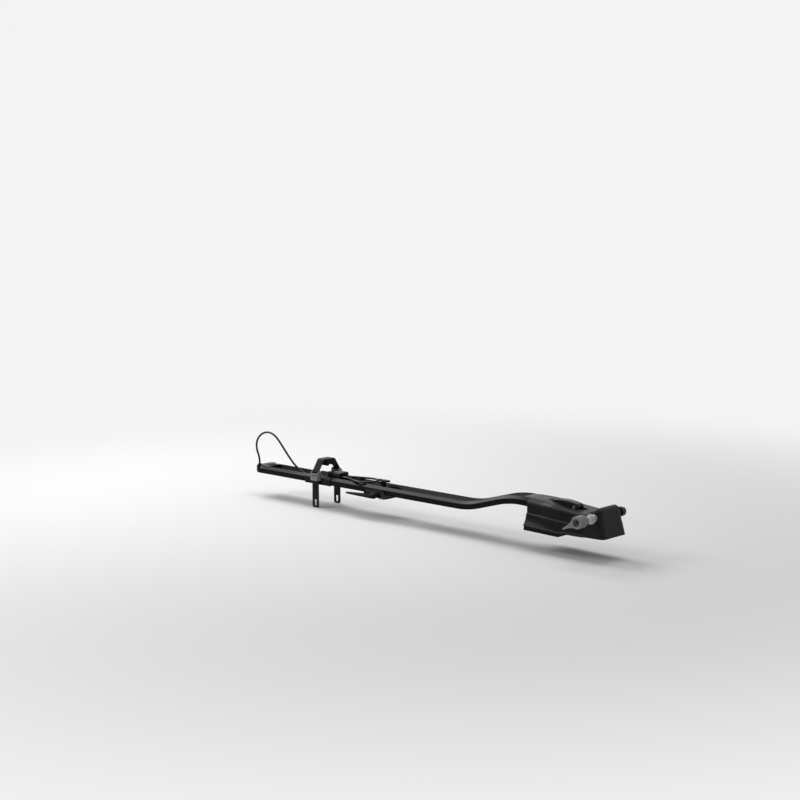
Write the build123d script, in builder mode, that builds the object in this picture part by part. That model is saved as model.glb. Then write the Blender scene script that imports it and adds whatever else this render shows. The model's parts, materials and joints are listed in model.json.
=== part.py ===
from build123d import *
from math import atan, cos, degrees, hypot, pi, radians, tan
import os

os.makedirs("parts", exist_ok=True)

# Roof mounted bike carrier, fork mount with a wheel tray.
# Millimetres. +X points to the fork head, +Z up. The origin is the centre of the front bar
# seat, where the clamping T-bolt goes down into the slot of the crossbar.

# Clearances and shared sizes
fit = 0.3
running = 0.05
overrun = 5.0
skin = 2.5
edge_round = 1.0

# Rail: one extrusion, bent up at the front
rail_width = 72.0
rail_height = 21.5
rail_shoulder = 14.5
crest_span = 52.0
floor_width = 28.0
rail_web = 2.5
rail_wall = 2.2
rail_base = 11.5
rail_rear = -1180.0
bend_low_x = -343.0
bend_high_x = -193.0
bend_high_z = 55.2
bend_low_radius = 280.0
bend_high_radius = 260.0
tongue_front = -62.0
tongue_width = 46.0
tongue_height = 10.0
front_fall = 0.0747

# Front base
base_rear = -139.0
base_seam = 52.0
head_front = 114.0
seat_rear = -14.0
lip_depth = 9.5
lip_depth_rear = 6.5
lip_front = -24.0
pad_top_z = 6.5
pad_draft = 1.5
pad_lap = 1.5
flange_height = 2.5
flange_slope = 0.6
flange_roll = 1.5
flange_inset = 2.5
flare_sag = 2.2
ridge_step = 0.6
ridge_drop = 1.8
bonnet_band = 2.5

# Base outline, station by station from the rear: x, foot half width, ledge height,
# ridge half width, ridge height, wall half width, top edge height, crest half width and
# crest height
base_stations = (
    (base_rear, 58.0, 3.6, 42.0, 34.0, 38.0, 65.2, 27.0, 74.6),
    (-94.0, 57.4, 1.4, 44.5, 32.5, 41.5, 63.8, 29.5, 73.4),
    (-56.0, 56.8, -0.4, 49.0, 31.0, 47.0, 63.4, 34.0, 69.6),
    (-27.0, 56.2, -2.0, 51.2, 30.2, 49.2, 62.2, 36.5, 65.6),
    (-12.0, 55.8, 0.9, 51.4, 29.6, 49.4, 61.2, 37.5, 63.8),
    (19.0, 55.0, 1.0, 51.4, 28.5, 49.4, 58.4, 38.5, 60.4),
    (base_seam, 53.0, 1.2, 50.2, 27.5, 48.2, 55.4, 38.5, 57.4),
)
nose_length = 44.0
nose_ramp = 22.0
well_half = 12.6
well_floor_front = 57.3
well_floor_mid = 62.6
well_floor_rear = 65.0
well_flat_x = -16.0
well_mid_x = -52.0
well_rear_x = -84.0
well_end_x = -92.0
plate_thick = 4.0
column_radius = 12.0
saddle_half = 24.0
foot_corner = 6.0
screw_xs = (-112.0, -42.0)
screw_y = 30.0
screw_radius = 2.5
screw_sink = 10.5
nose_rise = 3.0
saddle_rear = -132.0
plate_front = 96.0
plate_half = 34.0
window_xs = (-112.0, -82.0)
window_length = 16.0
carrier_rear = 60.0
carrier_round = 11.0
carrier_outer = 34.0
head_screw_x = 76.0
head_screw_y = 24.0
rail_bolt_xs = (-122.0, -86.0)
rail_bolt_radius = 3.0
rail_bolt_depth = 14.0
bolt_seat_depth = 1.0
head_screw_seat_z = 1.0
rail_bolt_head_radius = 5.0
rail_bolt_head_height = 4.0

# Head
head_half = 51.5
head_top_half = 46.0
head_top_z = 81.5
head_rear_top_z = 71.0
head_rear_top_x = 66.0
head_front_top_x = 94.0
head_base_z = 2.5
head_round = 13.0
head_wall = 3.0
axle_half = 50.0
axle_x = 82.0
axle_z = 54.0

# Axle and its clamp
skewer_radius = 4.5
tube_radius = 8.0
tube_bore = 5.5
bush_radius = 9.5
bush_thick = 7.0
bush_spigot = 12.0
fork_gap = 11.0
collar_radius = 8.2
collar_length = 23.0
collar_flange = 3.0
skewer_in_knob = 22.0
knob_radius = 16.2
knob_root_radius = 11.0
knob_root_length = 15.0
knob_length = 40.0
knob_tail_x = 33.0
knob_tail_z = 30.0
knob_tail_radius = 2.2
knob_tail_waist = 4.6
knob_tail_thick = 6.0
knob_tail_root = 18.0
knob_tail_back = 4.0
knob_recess_radius = 9.6
knob_recess_depth = 7.0
lock_core_radius = 5.5
knob_round = 2.5
knob_lock_length = 8.0
lock_core_proud = 1.0
keyway_width = 1.4
keyway_depth = 1.2
keyway_length = 5.0
small_keyway_length = 4.0
knob_pitch = 1.5
knob_turns = 2.5
knob_travel = knob_pitch * knob_turns
nut_radius = 13.0
nut_length = 14.0

# Front clamp
bolt_radius = 4.0
bolt_hole = 4.5
bolt_head_length = 24.0
bolt_head_width = 18.0
bolt_head_thick = 3.5
slot_lip = 6.0
lever_pivot_z = 67.0
lever_half = 11.0
lever_eye_radius = 4.6
lever_eye_half = 3.6
lever_pin_radius = 2.0
lever_cam_radius = 6.4
lever_cam_offset = 1.2
lever_top_z = 78.5
lever_tip_x = -76.0
lever_tip_z = 75.6
lever_tip_thick = 4.6
lever_roof = 3.5
lever_hump_x = -36.0
lever_brow_x = 3.0
lever_brow_z = 73.0
lever_belly_x = -38.0
lever_belly_z = 64.6
lever_lock_x = -8.5
lever_lock_z = 64.6
lever_lock_radius = 3.6
lever_lock_depth = 6.0
cam_plate_thick = 1.6
cam_plate_rear = 12.0
cam_plate_front = 21.0
cam_toe_height = 3.0

# Rear clamp
rear_seat_x = -688.0
rear_travel_back = 20.0
rear_travel_front = 120.0
rear_pad_thick = 4.0
saddle_length = 84.0
cheek_thick = 3.5
cheek_height = 11.0
lug_radius = 9.5
handle_length = 45.0
handle_width = 13.0
handle_thick = 5.0
handle_z = 42.0
hub_radius = 8.0
stem_radius = 6.5
washer_radius = 12.0
washer_thick = 2.0
swing_x = -683.0
swing_gap = 14.0
swing_reach = rail_width / 2 + swing_gap
swing_base_z = 1.0
swing_length = 110.0
swing_tip_radius = 4.5
swing_tip_inset = 3.0
swing_tip_thick = 3.5
swing_pin_radius = 3.0
swing_foot_radius = 5.0
swing_foot_thick = 1.6
lug_z = 11.3

# Wheel strap
strap_x = -921.0
strap_width = 25.0
strap_thick = 2.6
strap_gap = 8.6
strap_reach = rail_width / 2 + strap_gap
strap_top_z = 82.0
strap_top_half = 22.0
strap_knee_z = 46.0
strap_knee_radius = 12.0
strap_shoulder_radius = 9.0
tail_end_z = -59.0
tail_slot_width = 9.0
tail_slot_length = 18.0
tail_slot_lift = 14.4
tail_corner = 5.0
tooth_pitch = 5.0
tooth_height = 0.9
tooth_length = 2.0
clip_length = 100.0
clip_thick = 3.0
clip_under = 7.0
clip_corner = 6.0
buckle_width = 30.6
buckle_z = 22.0
buckle_top_z = 48.0
buckle_bridge_z = 38.0
buckle_bridge_top_z = 42.0
buckle_depth = 6.9
buckle_reach = strap_reach + buckle_depth
flip_pin_gap = 5.2
flip_pin_reach = strap_reach + flip_pin_gap
flip_pin_z = 33.0
flip_pin_radius = 1.5
flip_hub_radius = 2.7
flip_tip_z = 24.4
rim_pad_length = 40.0
rim_pad_half = 17.0
rim_pad_foot_half = 15.0
rim_pad_base_z = 63.0
rim_groove_radius = 12.0
rim_groove_z = 57.0
rim_lean_limit = 15.0

# Rear cap and security cable
cap_length = 50.0
cap_end = -1195.0
cap_corner = 15.0
pocket_half = 15.0
pocket_depth = 8.0
pocket_length = 24.0
spigot_z = 7.2
spigot_height = 8.0
slope_run = (crest_span - floor_width) / 2
slope_rise = rail_height - rail_web
slope_wall = rail_wall * hypot(slope_run, slope_rise) / slope_rise
spigot_top = spigot_z + spigot_height / 2
spigot_inner = floor_width / 2 + slope_run * (spigot_top - rail_web) / slope_rise + slope_wall + 2 * fit
spigot_outer = rail_width / 2 - rail_wall - 2 * fit
spigot_y = (spigot_inner + spigot_outer) / 2
spigot_width = spigot_outer - spigot_inner
spigot_length = 18.0
anchor_radius = 5.0
anchor_length = 12.0
cap_screw_x = -1171.0
cap_screw_radius = 2.0
cap_screw_length = 9.0
cable_radius = 3.0
outlet_x = -1186.0
outlet_inset = 12.0
outlet_y = outlet_inset - rail_width / 2
gland_radius = 6.5
gland_height = 4.0
gland_taper = 25.0
lock_rear_x = -896.0
lock_length = 48.0
lock_width = 40.0
lock_lift = 4.0
lock_height = 30.0
lock_base_half = 16.4
lock_seat_z = 23.7
lock_core_x = -872.0
lock_core_y = -8.0
lock_core_depth = 12.0
ferrule_length = 10.0
cable_port_z = 31.0
cable_lead = 15.0
cable_sag = 0.5
noose_port_y = 10.0
noose_z = 36.3
cord_share = 0.45

# Routes of the cable and of its noose, point by point
cable_route = (
    (outlet_x, outlet_y, rail_base + rail_height + gland_height),
    (outlet_x, outlet_y, 56.0),
    (-1198.5, -23.5, 76.0),
    (-1202.0, -22.5, 101.0),
    (-1188.0, -20.0, 124.5),
    (-1162.0, -17.0, 137.0),
    (-1132.0, -13.5, 132.0),
    (-1108.0, -10.0, 108.0),
    (-1079.0, -6.0, 72.0),
    (-1050.0, -2.5, 42.0),
    (-1014.0, 1.0, 22.5),
    (-972.0, 2.5, 17.6),
    (-935.0, 1.0, 20.0),
    (lock_rear_x - cable_lead, 0.0, cable_port_z - cable_sag),
    (lock_rear_x, 0.0, cable_port_z),
)
noose_route = (
    (lock_rear_x + lock_length, -noose_port_y, noose_z),
    (-827.0, -noose_port_y, noose_z),
    (-801.0, -19.5, noose_z),
    (-773.0, -30.5, noose_z),
    (-745.0, -32.5, noose_z),
    (-725.5, -14.0, noose_z),
    (-724.0, 13.5, noose_z),
    (-743.0, 33.0, noose_z),
    (-771.0, 31.5, noose_z),
    (-800.0, 20.5, noose_z),
    (-826.5, noose_port_y, noose_z),
    (lock_rear_x + lock_length, noose_port_y, noose_z),
)

rail_front_z = bend_high_z - front_fall * (tongue_front - bend_high_x)


upwards = (Align.CENTER, Align.CENTER, Align.MIN)
downwards = (Align.CENTER, Align.CENTER, Align.MAX)


def rail_line_points():
    return (
        (rail_rear, rail_base),
        (bend_low_x, rail_base),
        (bend_high_x, bend_high_z),
        (tongue_front, rail_front_z),
    )


rail_end_plane = Plane(origin=(rail_rear, 0, rail_base), x_dir=(0, 1, 0), z_dir=(1, 0, 0))
rail_radii = [bend_low_radius, bend_high_radius]
floor_z = rail_base + rail_web
crest_z = rail_base + rail_height
shoulder_z = rail_base + rail_shoulder

# Rail


def rail_under(x):
    """Height of the rail's underside on its straight fall to the head."""
    return bend_high_z - front_fall * (x - bend_high_x)


with BuildPart() as rail:
    with BuildLine(Plane.XZ) as rail_path:
        FilletPolyline(*rail_line_points(), radius=rail_radii)
    with BuildSketch(rail_end_plane):
        with BuildLine():
            Polyline(
                (-rail_width / 2, 0),
                (rail_width / 2, 0),
                (rail_width / 2, rail_shoulder),
                (crest_span / 2, rail_height),
                (floor_width / 2, rail_web),
                (-floor_width / 2, rail_web),
                (-crest_span / 2, rail_height),
                (-rail_width / 2, rail_shoulder),
                close=True,
            )
        make_face()
        with BuildSketch(mode=Mode.PRIVATE) as chamber:
            with BuildLine():
                Polyline(
                    (floor_width / 2, 0),
                    (rail_width / 2, 0),
                    (rail_width / 2, rail_shoulder),
                    (crest_span / 2, rail_height),
                    (floor_width / 2, rail_web),
                    close=True,
                )
            make_face()
            offset(amount=-rail_wall, kind=Kind.INTERSECTION)
        add(chamber.sketch, mode=Mode.SUBTRACT)
        add(chamber.sketch.mirror(Plane.YZ), mode=Mode.SUBTRACT)
    sweep(path=rail_path.wires()[0])
    # the front end is cut down to a flat tongue that goes into the base
    with BuildSketch(Plane.XZ):
        with BuildLine():
            Polyline(
                (base_rear - fit, rail_under(base_rear) + tongue_height),
                (tongue_front + overrun, rail_under(tongue_front + overrun) + tongue_height),
                (tongue_front + overrun, bend_high_z + rail_height + overrun),
                (base_rear - fit, bend_high_z + rail_height + overrun),
                close=True,
            )
        make_face()
    extrude(amount=rail_width, both=True, mode=Mode.SUBTRACT)
    with BuildSketch(Plane.XY):
        for side in (-1, 1):
            with Locations(((base_rear - fit + tongue_front + overrun) / 2, side * rail_width / 2)):
                Rectangle(tongue_front + overrun - base_rear + fit, rail_width - tongue_width)
    extrude(amount=bend_high_z + rail_height, mode=Mode.SUBTRACT)
    with BuildSketch(Plane.XY.offset(rail_base)):
        with Locations((rear_seat_x + (rear_travel_front - rear_travel_back) / 2, 0)):
            SlotOverall(rear_travel_front + rear_travel_back + 2 * bolt_hole, 2 * bolt_hole)
    extrude(amount=rail_web, mode=Mode.SUBTRACT)
    with Locations(*[(x, 0, rail_under(x) + tongue_height - bolt_seat_depth) for x in rail_bolt_xs]):
        CounterBoreHole(rail_bolt_radius + fit, rail_bolt_head_radius + fit, 0, 2 * tongue_height)
    with Locations(*[(cap_screw_x, side * spigot_y, rail_base + rail_wall) for side in (-1, 1)]):
        Hole(cap_screw_radius + running, 2 * rail_wall)
rail.part.label = "rail"
export_step(rail.part, "parts/rail.step")

# Rear end cap: block over the rail's cut end, with an insert that fills the channel
with BuildPart() as rear_cap:
    with BuildSketch(Plane.XY.offset(rail_base)):
        with Locations(((cap_end + rail_rear) / 2, 0)):
            Rectangle(rail_rear - cap_end, rail_width)
    extrude(amount=rail_height)
    fillet(rear_cap.edges().filter_by(Axis.Z).group_by(Axis.X)[0], cap_corner - edge_round)
    fillet(rear_cap.faces().sort_by(Axis.Z)[0].edges().group_by(Axis.X)[0], 3 * edge_round)
    fillet(rear_cap.faces().sort_by(Axis.Z)[-1].edges().group_by(Axis.X)[0], edge_round)
    with BuildSketch(Plane.YZ.offset(rail_rear)):
        with BuildLine():
            Polyline(
                (-floor_width / 2 + fit, floor_z),
                (floor_width / 2 - fit, floor_z),
                (crest_span / 2 - fit, crest_z),
                (-crest_span / 2 + fit, crest_z),
                close=True,
            )
        make_face()
    extrude(amount=cap_length + cap_end - rail_rear)
    with BuildSketch(Plane.YZ.offset(rail_rear)):
        with Locations(*[(side * spigot_y, rail_base + spigot_z) for side in (-1, 1)]):
            Rectangle(spigot_width, spigot_height)
    extrude(amount=spigot_length)
    # finger pocket, deepest at its front wall
    with BuildSketch(Plane.XZ):
        with BuildLine():
            Polyline(
                (cap_end + cap_length - skin - pocket_length, crest_z),
                (cap_end + cap_length - skin, crest_z),
                (cap_end + cap_length - skin, crest_z - pocket_depth),
                close=True,
            )
        make_face()
    extrude(amount=pocket_half, both=True, mode=Mode.SUBTRACT)
    # cable outlet, with the room for the anchor below it
    with Locations((outlet_x, outlet_y, crest_z)):
        Hole(cable_radius + fit, rail_height)
    with Locations(Location((outlet_x, outlet_y, rail_base), (180, 0, 0))):
        Hole(anchor_radius + fit, anchor_length)
    with Locations(*[Location((cap_screw_x, side * spigot_y, rail_base), (180, 0, 0)) for side in (-1, 1)]):
        Hole(cap_screw_radius + running, cap_screw_length + fit)
rear_cap.part.label = "rear_cap"
export_step(rear_cap.part, "parts/rear_cap.step")

# Rubber gland round the cable's outlet, and the crimped anchor that holds its end
with BuildPart() as cable_gland:
    with BuildSketch(Plane.XY.offset(crest_z)):
        with Locations((outlet_x, outlet_y)):
            Circle(gland_radius)
    extrude(amount=gland_height, taper=gland_taper)
    with Locations((outlet_x, outlet_y, crest_z + gland_height)):
        Hole(cable_radius + running, gland_height)
cable_gland.part.label = "cable_gland"
export_step(cable_gland.part, "parts/cable_gland.step")

with BuildPart() as cable_anchor:
    with BuildSketch(Plane.XY.offset(rail_base)):
        with Locations((outlet_x, outlet_y)):
            Circle(anchor_radius)
    extrude(amount=anchor_length - fit)
    chamfer(cable_anchor.edges().sort_by(Axis.Z)[0], edge_round)
cable_anchor.part.label = "cable_anchor"
export_step(cable_anchor.part, "parts/cable_anchor.step")

# Screws that hold the cap, up through the rail's underside into the spigots
for name, side in (("near", -1), ("far", 1)):
    with BuildPart() as cap_screw:
        with Locations((cap_screw_x, side * spigot_y, rail_base)):
            Cylinder(cap_screw_radius, cap_screw_length, align=upwards)
            Cylinder(2 * cap_screw_radius, cap_screw_radius, align=downwards)
        fillet(cap_screw.faces().sort_by(Axis.Z)[0].edges(), cap_screw_radius / 2)
    cap_screw.part.label = f"cap_screw_{name}"
    export_step(cap_screw.part, f"parts/cap_screw_{name}.step")

# Wheel strap: ladder strap over a rim pad
strap_centre_z = strap_top_z - strap_thick / 2
with BuildPart() as strap_band:
    with BuildLine(Plane.YZ.offset(strap_x)) as strap_path:
        FilletPolyline(
            (-strap_reach, tail_end_z),
            (-strap_reach, strap_knee_z),
            (-strap_top_half, strap_centre_z),
            (strap_top_half, strap_centre_z),
            (strap_reach, strap_knee_z),
            (strap_reach, tail_end_z),
            radius=[strap_knee_radius, strap_shoulder_radius, strap_shoulder_radius, strap_knee_radius],
        )
    with BuildSketch(Plane((strap_x, -strap_reach, tail_end_z), x_dir=(1, 0, 0), z_dir=(0, 0, 1))):
        Rectangle(strap_width, strap_thick)
    sweep(path=strap_path.wires()[0])
    # ladder teeth on the outside of both tails
    tooth_count = int((strap_knee_z - strap_knee_radius - tail_end_z - 2 * tail_slot_length) / tooth_pitch)
    tooth_places = []
    for side in (-1, 1):
        for step in range(tooth_count):
            tooth_z = tail_end_z + 2 * tail_slot_length + step * tooth_pitch
            tooth_places.append((strap_x, side * (strap_reach + strap_thick / 2), tooth_z))
    with Locations(*tooth_places):
        Box(strap_width - 2 * skin, 2 * tooth_height, tooth_length)
    with Locations(*[(strap_x, side * strap_reach, tail_end_z + tail_slot_lift) for side in (-1, 1)]):
        Box(tail_slot_width, 2 * strap_thick, tail_slot_length, mode=Mode.SUBTRACT)
    tail_ends = strap_band.faces().filter_by(Axis.Z).group_by(Axis.Z)[0]
    fillet(tail_ends.edges().filter_by(Axis.Y), tail_corner)
strap_band.part.label = "strap_band"
export_step(strap_band.part, "parts/strap_band.step")

with BuildPart() as rim_pad:
    with BuildSketch(Plane.YZ.offset(strap_x - rim_pad_length / 2)):
        with BuildLine():
            Polyline(
                (-rim_pad_foot_half, rim_pad_base_z),
                (rim_pad_foot_half, rim_pad_base_z),
                (rim_pad_half, strap_top_z - strap_thick + edge_round),
                (-rim_pad_half, strap_top_z - strap_thick + edge_round),
                close=True,
            )
        make_face()
        with Locations((0, rim_groove_z)):
            Circle(rim_groove_radius, mode=Mode.SUBTRACT)
    extrude(amount=rim_pad_length)
    fillet(rim_pad.edges().filter_by(Axis.Z, tolerance=rim_lean_limit).group_by(Axis.X)[0], 2 * edge_round)
    fillet(rim_pad.edges().filter_by(Axis.Z, tolerance=rim_lean_limit).group_by(Axis.X)[-1], 2 * edge_round)
    with Locations((strap_x, 0, strap_top_z - strap_thick)):
        Box(
            strap_width + 2 * running,
            4 * rim_pad_half,
            4 * edge_round,
            align=upwards,
            mode=Mode.SUBTRACT,
        )
rim_pad.part.label = "rim_pad"
export_step(rim_pad.part, "parts/rim_pad.step")

# One sliding clip, one buckle, one flip lever and its pin on each side of the rail
rail_outline = (
    (-rail_width / 2, rail_base),
    (rail_width / 2, rail_base),
    (rail_width / 2, shoulder_z),
    (crest_span / 2, crest_z),
    (-crest_span / 2, crest_z),
    (-rail_width / 2, shoulder_z),
)
strap_inner = strap_reach - strap_thick / 2
strap_outer = strap_reach + strap_thick / 2
for name, side in (("near", -1), ("far", 1)):
    with BuildPart() as side_clip:
        with BuildSketch(Plane.YZ.offset(strap_x - clip_length / 2)):
            with BuildLine():
                Polyline(*rail_outline, close=True)
            make_face()
            offset(amount=clip_thick + running, kind=Kind.ARC)
            with BuildSketch(mode=Mode.PRIVATE) as clip_inside:
                with BuildLine():
                    Polyline(*rail_outline, close=True)
                make_face()
                offset(amount=running, kind=Kind.INTERSECTION)
            add(clip_inside.sketch, mode=Mode.SUBTRACT)
            with Locations((side * (rail_width / 2 - clip_under + rail_width), rail_base + rail_height / 2)):
                Rectangle(2 * rail_width, 4 * rail_height, mode=Mode.INTERSECT)
        extrude(amount=clip_length)
        with BuildSketch(Plane.XZ):
            with Locations((strap_x, rail_base + rail_height / 2)):
                RectangleRounded(clip_length, rail_height + 2 * clip_thick + 2 * clip_corner, clip_corner)
        extrude(amount=rail_width, both=True, mode=Mode.INTERSECT)
    side_clip.part.label = f"side_clip_{name}"
    export_step(side_clip.part, f"parts/side_clip_{name}.step")

    with BuildPart() as buckle:
        with BuildSketch(Plane.YZ.offset(strap_x - buckle_width / 2)):
            with BuildLine():
                Polyline(
                    (side * (rail_width / 2 - edge_round), buckle_z),
                    (side * (buckle_reach - 2 * edge_round), buckle_z),
                    (side * buckle_reach, buckle_z + 4 * edge_round),
                    (side * buckle_reach, buckle_bridge_z),
                    (side * (strap_outer + 2 * edge_round), buckle_top_z - 2 * edge_round),
                    (side * strap_reach, buckle_top_z),
                    (side * (rail_width / 2 + 2 * edge_round), buckle_top_z),
                    (side * (rail_width / 2 - edge_round), buckle_top_z - 4 * edge_round),
                    close=True,
                )
            make_face()
            with BuildSketch(mode=Mode.PRIVATE) as clip_outside:
                with BuildLine():
                    Polyline(*rail_outline, close=True)
                make_face()
                offset(amount=clip_thick + running, kind=Kind.INTERSECTION)
            add(clip_outside.sketch, mode=Mode.SUBTRACT)
        extrude(amount=buckle_width)
        # way for the strap, the flip lever's place in front of it and the open top
        with BuildSketch(Plane.YZ.offset(strap_x - strap_width / 2 - fit)):
            with Locations((side * strap_reach, (buckle_z + buckle_top_z) / 2)):
                Rectangle(strap_thick + 2 * running, 2 * (buckle_top_z - buckle_z))
            front_centre = strap_inner - running + buckle_reach
            with Locations((side * front_centre, buckle_bridge_z - buckle_top_z / 2)):
                Rectangle(2 * buckle_reach, buckle_top_z)
            with Locations((side * strap_reach, buckle_bridge_top_z + buckle_top_z / 2)):
                Rectangle(2 * buckle_reach, buckle_top_z)
            with Locations((side * (strap_outer + tooth_height), (buckle_z + buckle_top_z) / 2)):
                Rectangle(2 * tooth_height, 2 * (buckle_top_z - buckle_z))
        extrude(amount=strap_width + 2 * fit, mode=Mode.SUBTRACT)
        with BuildSketch(Plane.YZ.offset(strap_x - buckle_width / 2)):
            with Locations((side * flip_pin_reach, flip_pin_z)):
                Circle(flip_pin_radius)
        extrude(amount=buckle_width, mode=Mode.SUBTRACT)
    buckle.part.label = f"buckle_{name}"
    export_step(buckle.part, f"parts/buckle_{name}.step")

    with BuildPart() as flip_lever:
        with BuildSketch(Plane.YZ.offset(strap_x - strap_width / 2)):
            with BuildSketch(mode=Mode.PRIVATE) as flip_blade:
                with Locations((side * flip_pin_reach, flip_pin_z)):
                    Circle(flip_hub_radius)
                with Locations((side * (flip_pin_reach + edge_round), flip_tip_z)):
                    Circle(edge_round)
                make_hull()
            add(flip_blade.sketch)
            with BuildSketch(mode=Mode.PRIVATE) as flip_lip:
                with Locations((side * (flip_pin_reach + edge_round), flip_tip_z)):
                    Circle(edge_round)
                with Locations((side * (flip_pin_reach + 3 * edge_round), flip_tip_z - 2 * edge_round)):
                    Circle(edge_round)
                make_hull()
            add(flip_lip.sketch)
            with Locations((side * flip_pin_reach, flip_pin_z)):
                Circle(flip_pin_radius + running, mode=Mode.SUBTRACT)
        extrude(amount=strap_width)
    flip_lever.part.label = f"flip_lever_{name}"
    export_step(flip_lever.part, f"parts/flip_lever_{name}.step")

    with BuildPart() as flip_pin:
        with BuildSketch(Plane.YZ.offset(strap_x - buckle_width / 2)):
            with Locations((side * flip_pin_reach, flip_pin_z)):
                Circle(flip_pin_radius)
        extrude(amount=buckle_width)
    flip_pin.part.label = f"flip_pin_{name}"
    export_step(flip_pin.part, f"parts/flip_pin_{name}.step")

# Rear clamp: rubber pad, saddle under the rail and a T-bolt up through the rail's slot
with BuildPart() as rear_pad:
    with BuildSketch():
        with Locations((rear_seat_x, 0)):
            RectangleRounded(saddle_length, rail_width, 4 * edge_round)
            Circle(bolt_hole, mode=Mode.SUBTRACT)
    extrude(amount=rear_pad_thick)
rear_pad.part.label = "rear_pad"
export_step(rear_pad.part, "parts/rear_pad.step")

with BuildPart() as rear_saddle:
    with BuildSketch(Plane.YZ.offset(rear_seat_x - saddle_length / 2)):
        with BuildLine():
            Polyline(
                (-rail_width / 2 - running - cheek_thick, rear_pad_thick),
                (rail_width / 2 + running + cheek_thick, rear_pad_thick),
                (rail_width / 2 + running + cheek_thick, rail_base + cheek_height),
                (rail_width / 2 + running, rail_base + cheek_height),
                (rail_width / 2 + running, rail_base),
                (-rail_width / 2 - running, rail_base),
                (-rail_width / 2 - running, rail_base + cheek_height),
                (-rail_width / 2 - running - cheek_thick, rail_base + cheek_height),
                close=True,
            )
        make_face()
    extrude(amount=saddle_length)
    # cheeks slope down to their ends
    with BuildSketch(Plane.XZ):
        for side in (-1, 1):
            with BuildLine():
                Polyline(
                    (rear_seat_x + side * (saddle_length / 2 - cheek_height), rail_base + cheek_height),
                    (rear_seat_x + side * (saddle_length / 2), rail_base + edge_round),
                    (rear_seat_x + side * (saddle_length / 2), rail_base + cheek_height),
                    close=True,
                )
            make_face()
    extrude(amount=rail_width, both=True, mode=Mode.SUBTRACT)
    # lug for the swing lever
    with BuildSketch(Plane.XY.offset(lug_z)):
        with Locations((swing_x, -swing_reach)):
            Circle(lug_radius)
        with Locations((swing_x, -(rail_width / 2 + cheek_thick / 2 + swing_reach) / 2)):
            Rectangle(2 * lug_radius, swing_reach - rail_width / 2 - cheek_thick / 2)
    extrude(amount=cheek_thick)
    with Locations((swing_x, -swing_reach, lug_z + cheek_thick)):
        Hole(swing_pin_radius, 2 * cheek_thick)
    with Locations((rear_seat_x, 0, rail_base)):
        Hole(bolt_hole, rail_base)
rear_saddle.part.label = "rear_saddle"
export_step(rear_saddle.part, "parts/rear_saddle.step")

with BuildPart() as swing_lever:
    with BuildSketch(Plane.XY.offset(swing_base_z)):
        with Locations((swing_x, -swing_reach)):
            Circle(hub_radius)
        with Locations((swing_x - swing_length + swing_tip_radius, -swing_reach + swing_tip_inset)):
            Circle(swing_tip_radius)
        make_hull()
    extrude(amount=lug_z - running - swing_base_z)
    # the blade thins towards its tip, from above
    with BuildSketch(Plane.XZ.offset(swing_reach)):
        with BuildLine():
            Polyline(
                (swing_x - lug_radius, lug_z),
                (swing_x - swing_length - overrun, lug_z),
                (swing_x - swing_length - overrun, swing_base_z + swing_tip_thick),
                close=True,
            )
        make_face()
    extrude(amount=2 * hub_radius, both=True, mode=Mode.SUBTRACT)
    with Locations((swing_x, -swing_reach, lug_z)):
        Hole(swing_pin_radius + running, lug_z)
    with Locations(Location((swing_x, -swing_reach, swing_base_z), (180, 0, 0))):
        Hole(swing_foot_radius + fit, swing_foot_thick + fit)
swing_lever.part.label = "swing_lever"
export_step(swing_lever.part, "parts/swing_lever.step")

with BuildPart() as swing_pin:
    with Locations((swing_x, -swing_reach, swing_base_z + fit)):
        Cylinder(swing_foot_radius, swing_foot_thick - fit, align=upwards)
        Cylinder(
            swing_pin_radius,
            lug_z + cheek_thick - swing_base_z - fit,
            align=upwards,
        )
    with Locations((swing_x, -swing_reach, lug_z + cheek_thick)):
        Cylinder(swing_foot_radius, swing_foot_thick, align=upwards)
    fillet(swing_pin.faces().sort_by(Axis.Z)[-1].edges(), edge_round)
swing_pin.part.label = "swing_pin"
export_step(swing_pin.part, "parts/swing_pin.step")

with BuildPart() as rear_bolt:
    with Locations((rear_seat_x, 0, -slot_lip)):
        Box(bolt_head_width, bolt_head_length, bolt_head_thick, align=downwards)
        Cylinder(bolt_radius, slot_lip + handle_z + handle_thick, align=upwards)
    fillet(rear_bolt.edges().filter_by(Axis.Z), 2 * edge_round)
    chamfer(rear_bolt.faces().sort_by(Axis.Z)[-1].edges(), edge_round)
rear_bolt.part.label = "rear_bolt"
export_step(rear_bolt.part, "parts/rear_bolt.step")

with BuildPart() as rear_washer:
    with BuildSketch(Plane.XY.offset(floor_z)):
        with Locations((rear_seat_x, 0)):
            Circle(washer_radius)
            Circle(bolt_hole, mode=Mode.SUBTRACT)
    extrude(amount=washer_thick)
rear_washer.part.label = "rear_washer"
export_step(rear_washer.part, "parts/rear_washer.step")

with BuildPart() as t_handle:
    with BuildSketch(Plane.XY.offset(floor_z + washer_thick)):
        with Locations((rear_seat_x, 0)):
            Circle(stem_radius)
    extrude(amount=handle_z - floor_z - washer_thick)
    with BuildSketch(Plane.XY.offset(handle_z)):
        with Locations((rear_seat_x, 0)):
            SlotOverall(handle_length, handle_width)
            Circle(hub_radius)
    extrude(amount=handle_thick)
    fillet(t_handle.faces().sort_by(Axis.Z)[-1].edges(), edge_round)
    with Locations((rear_seat_x, 0, handle_z + handle_thick)):
        Hole(bolt_radius + running, handle_z)
t_handle.part.label = "t_handle"
export_step(t_handle.part, "parts/t_handle.step")

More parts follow.
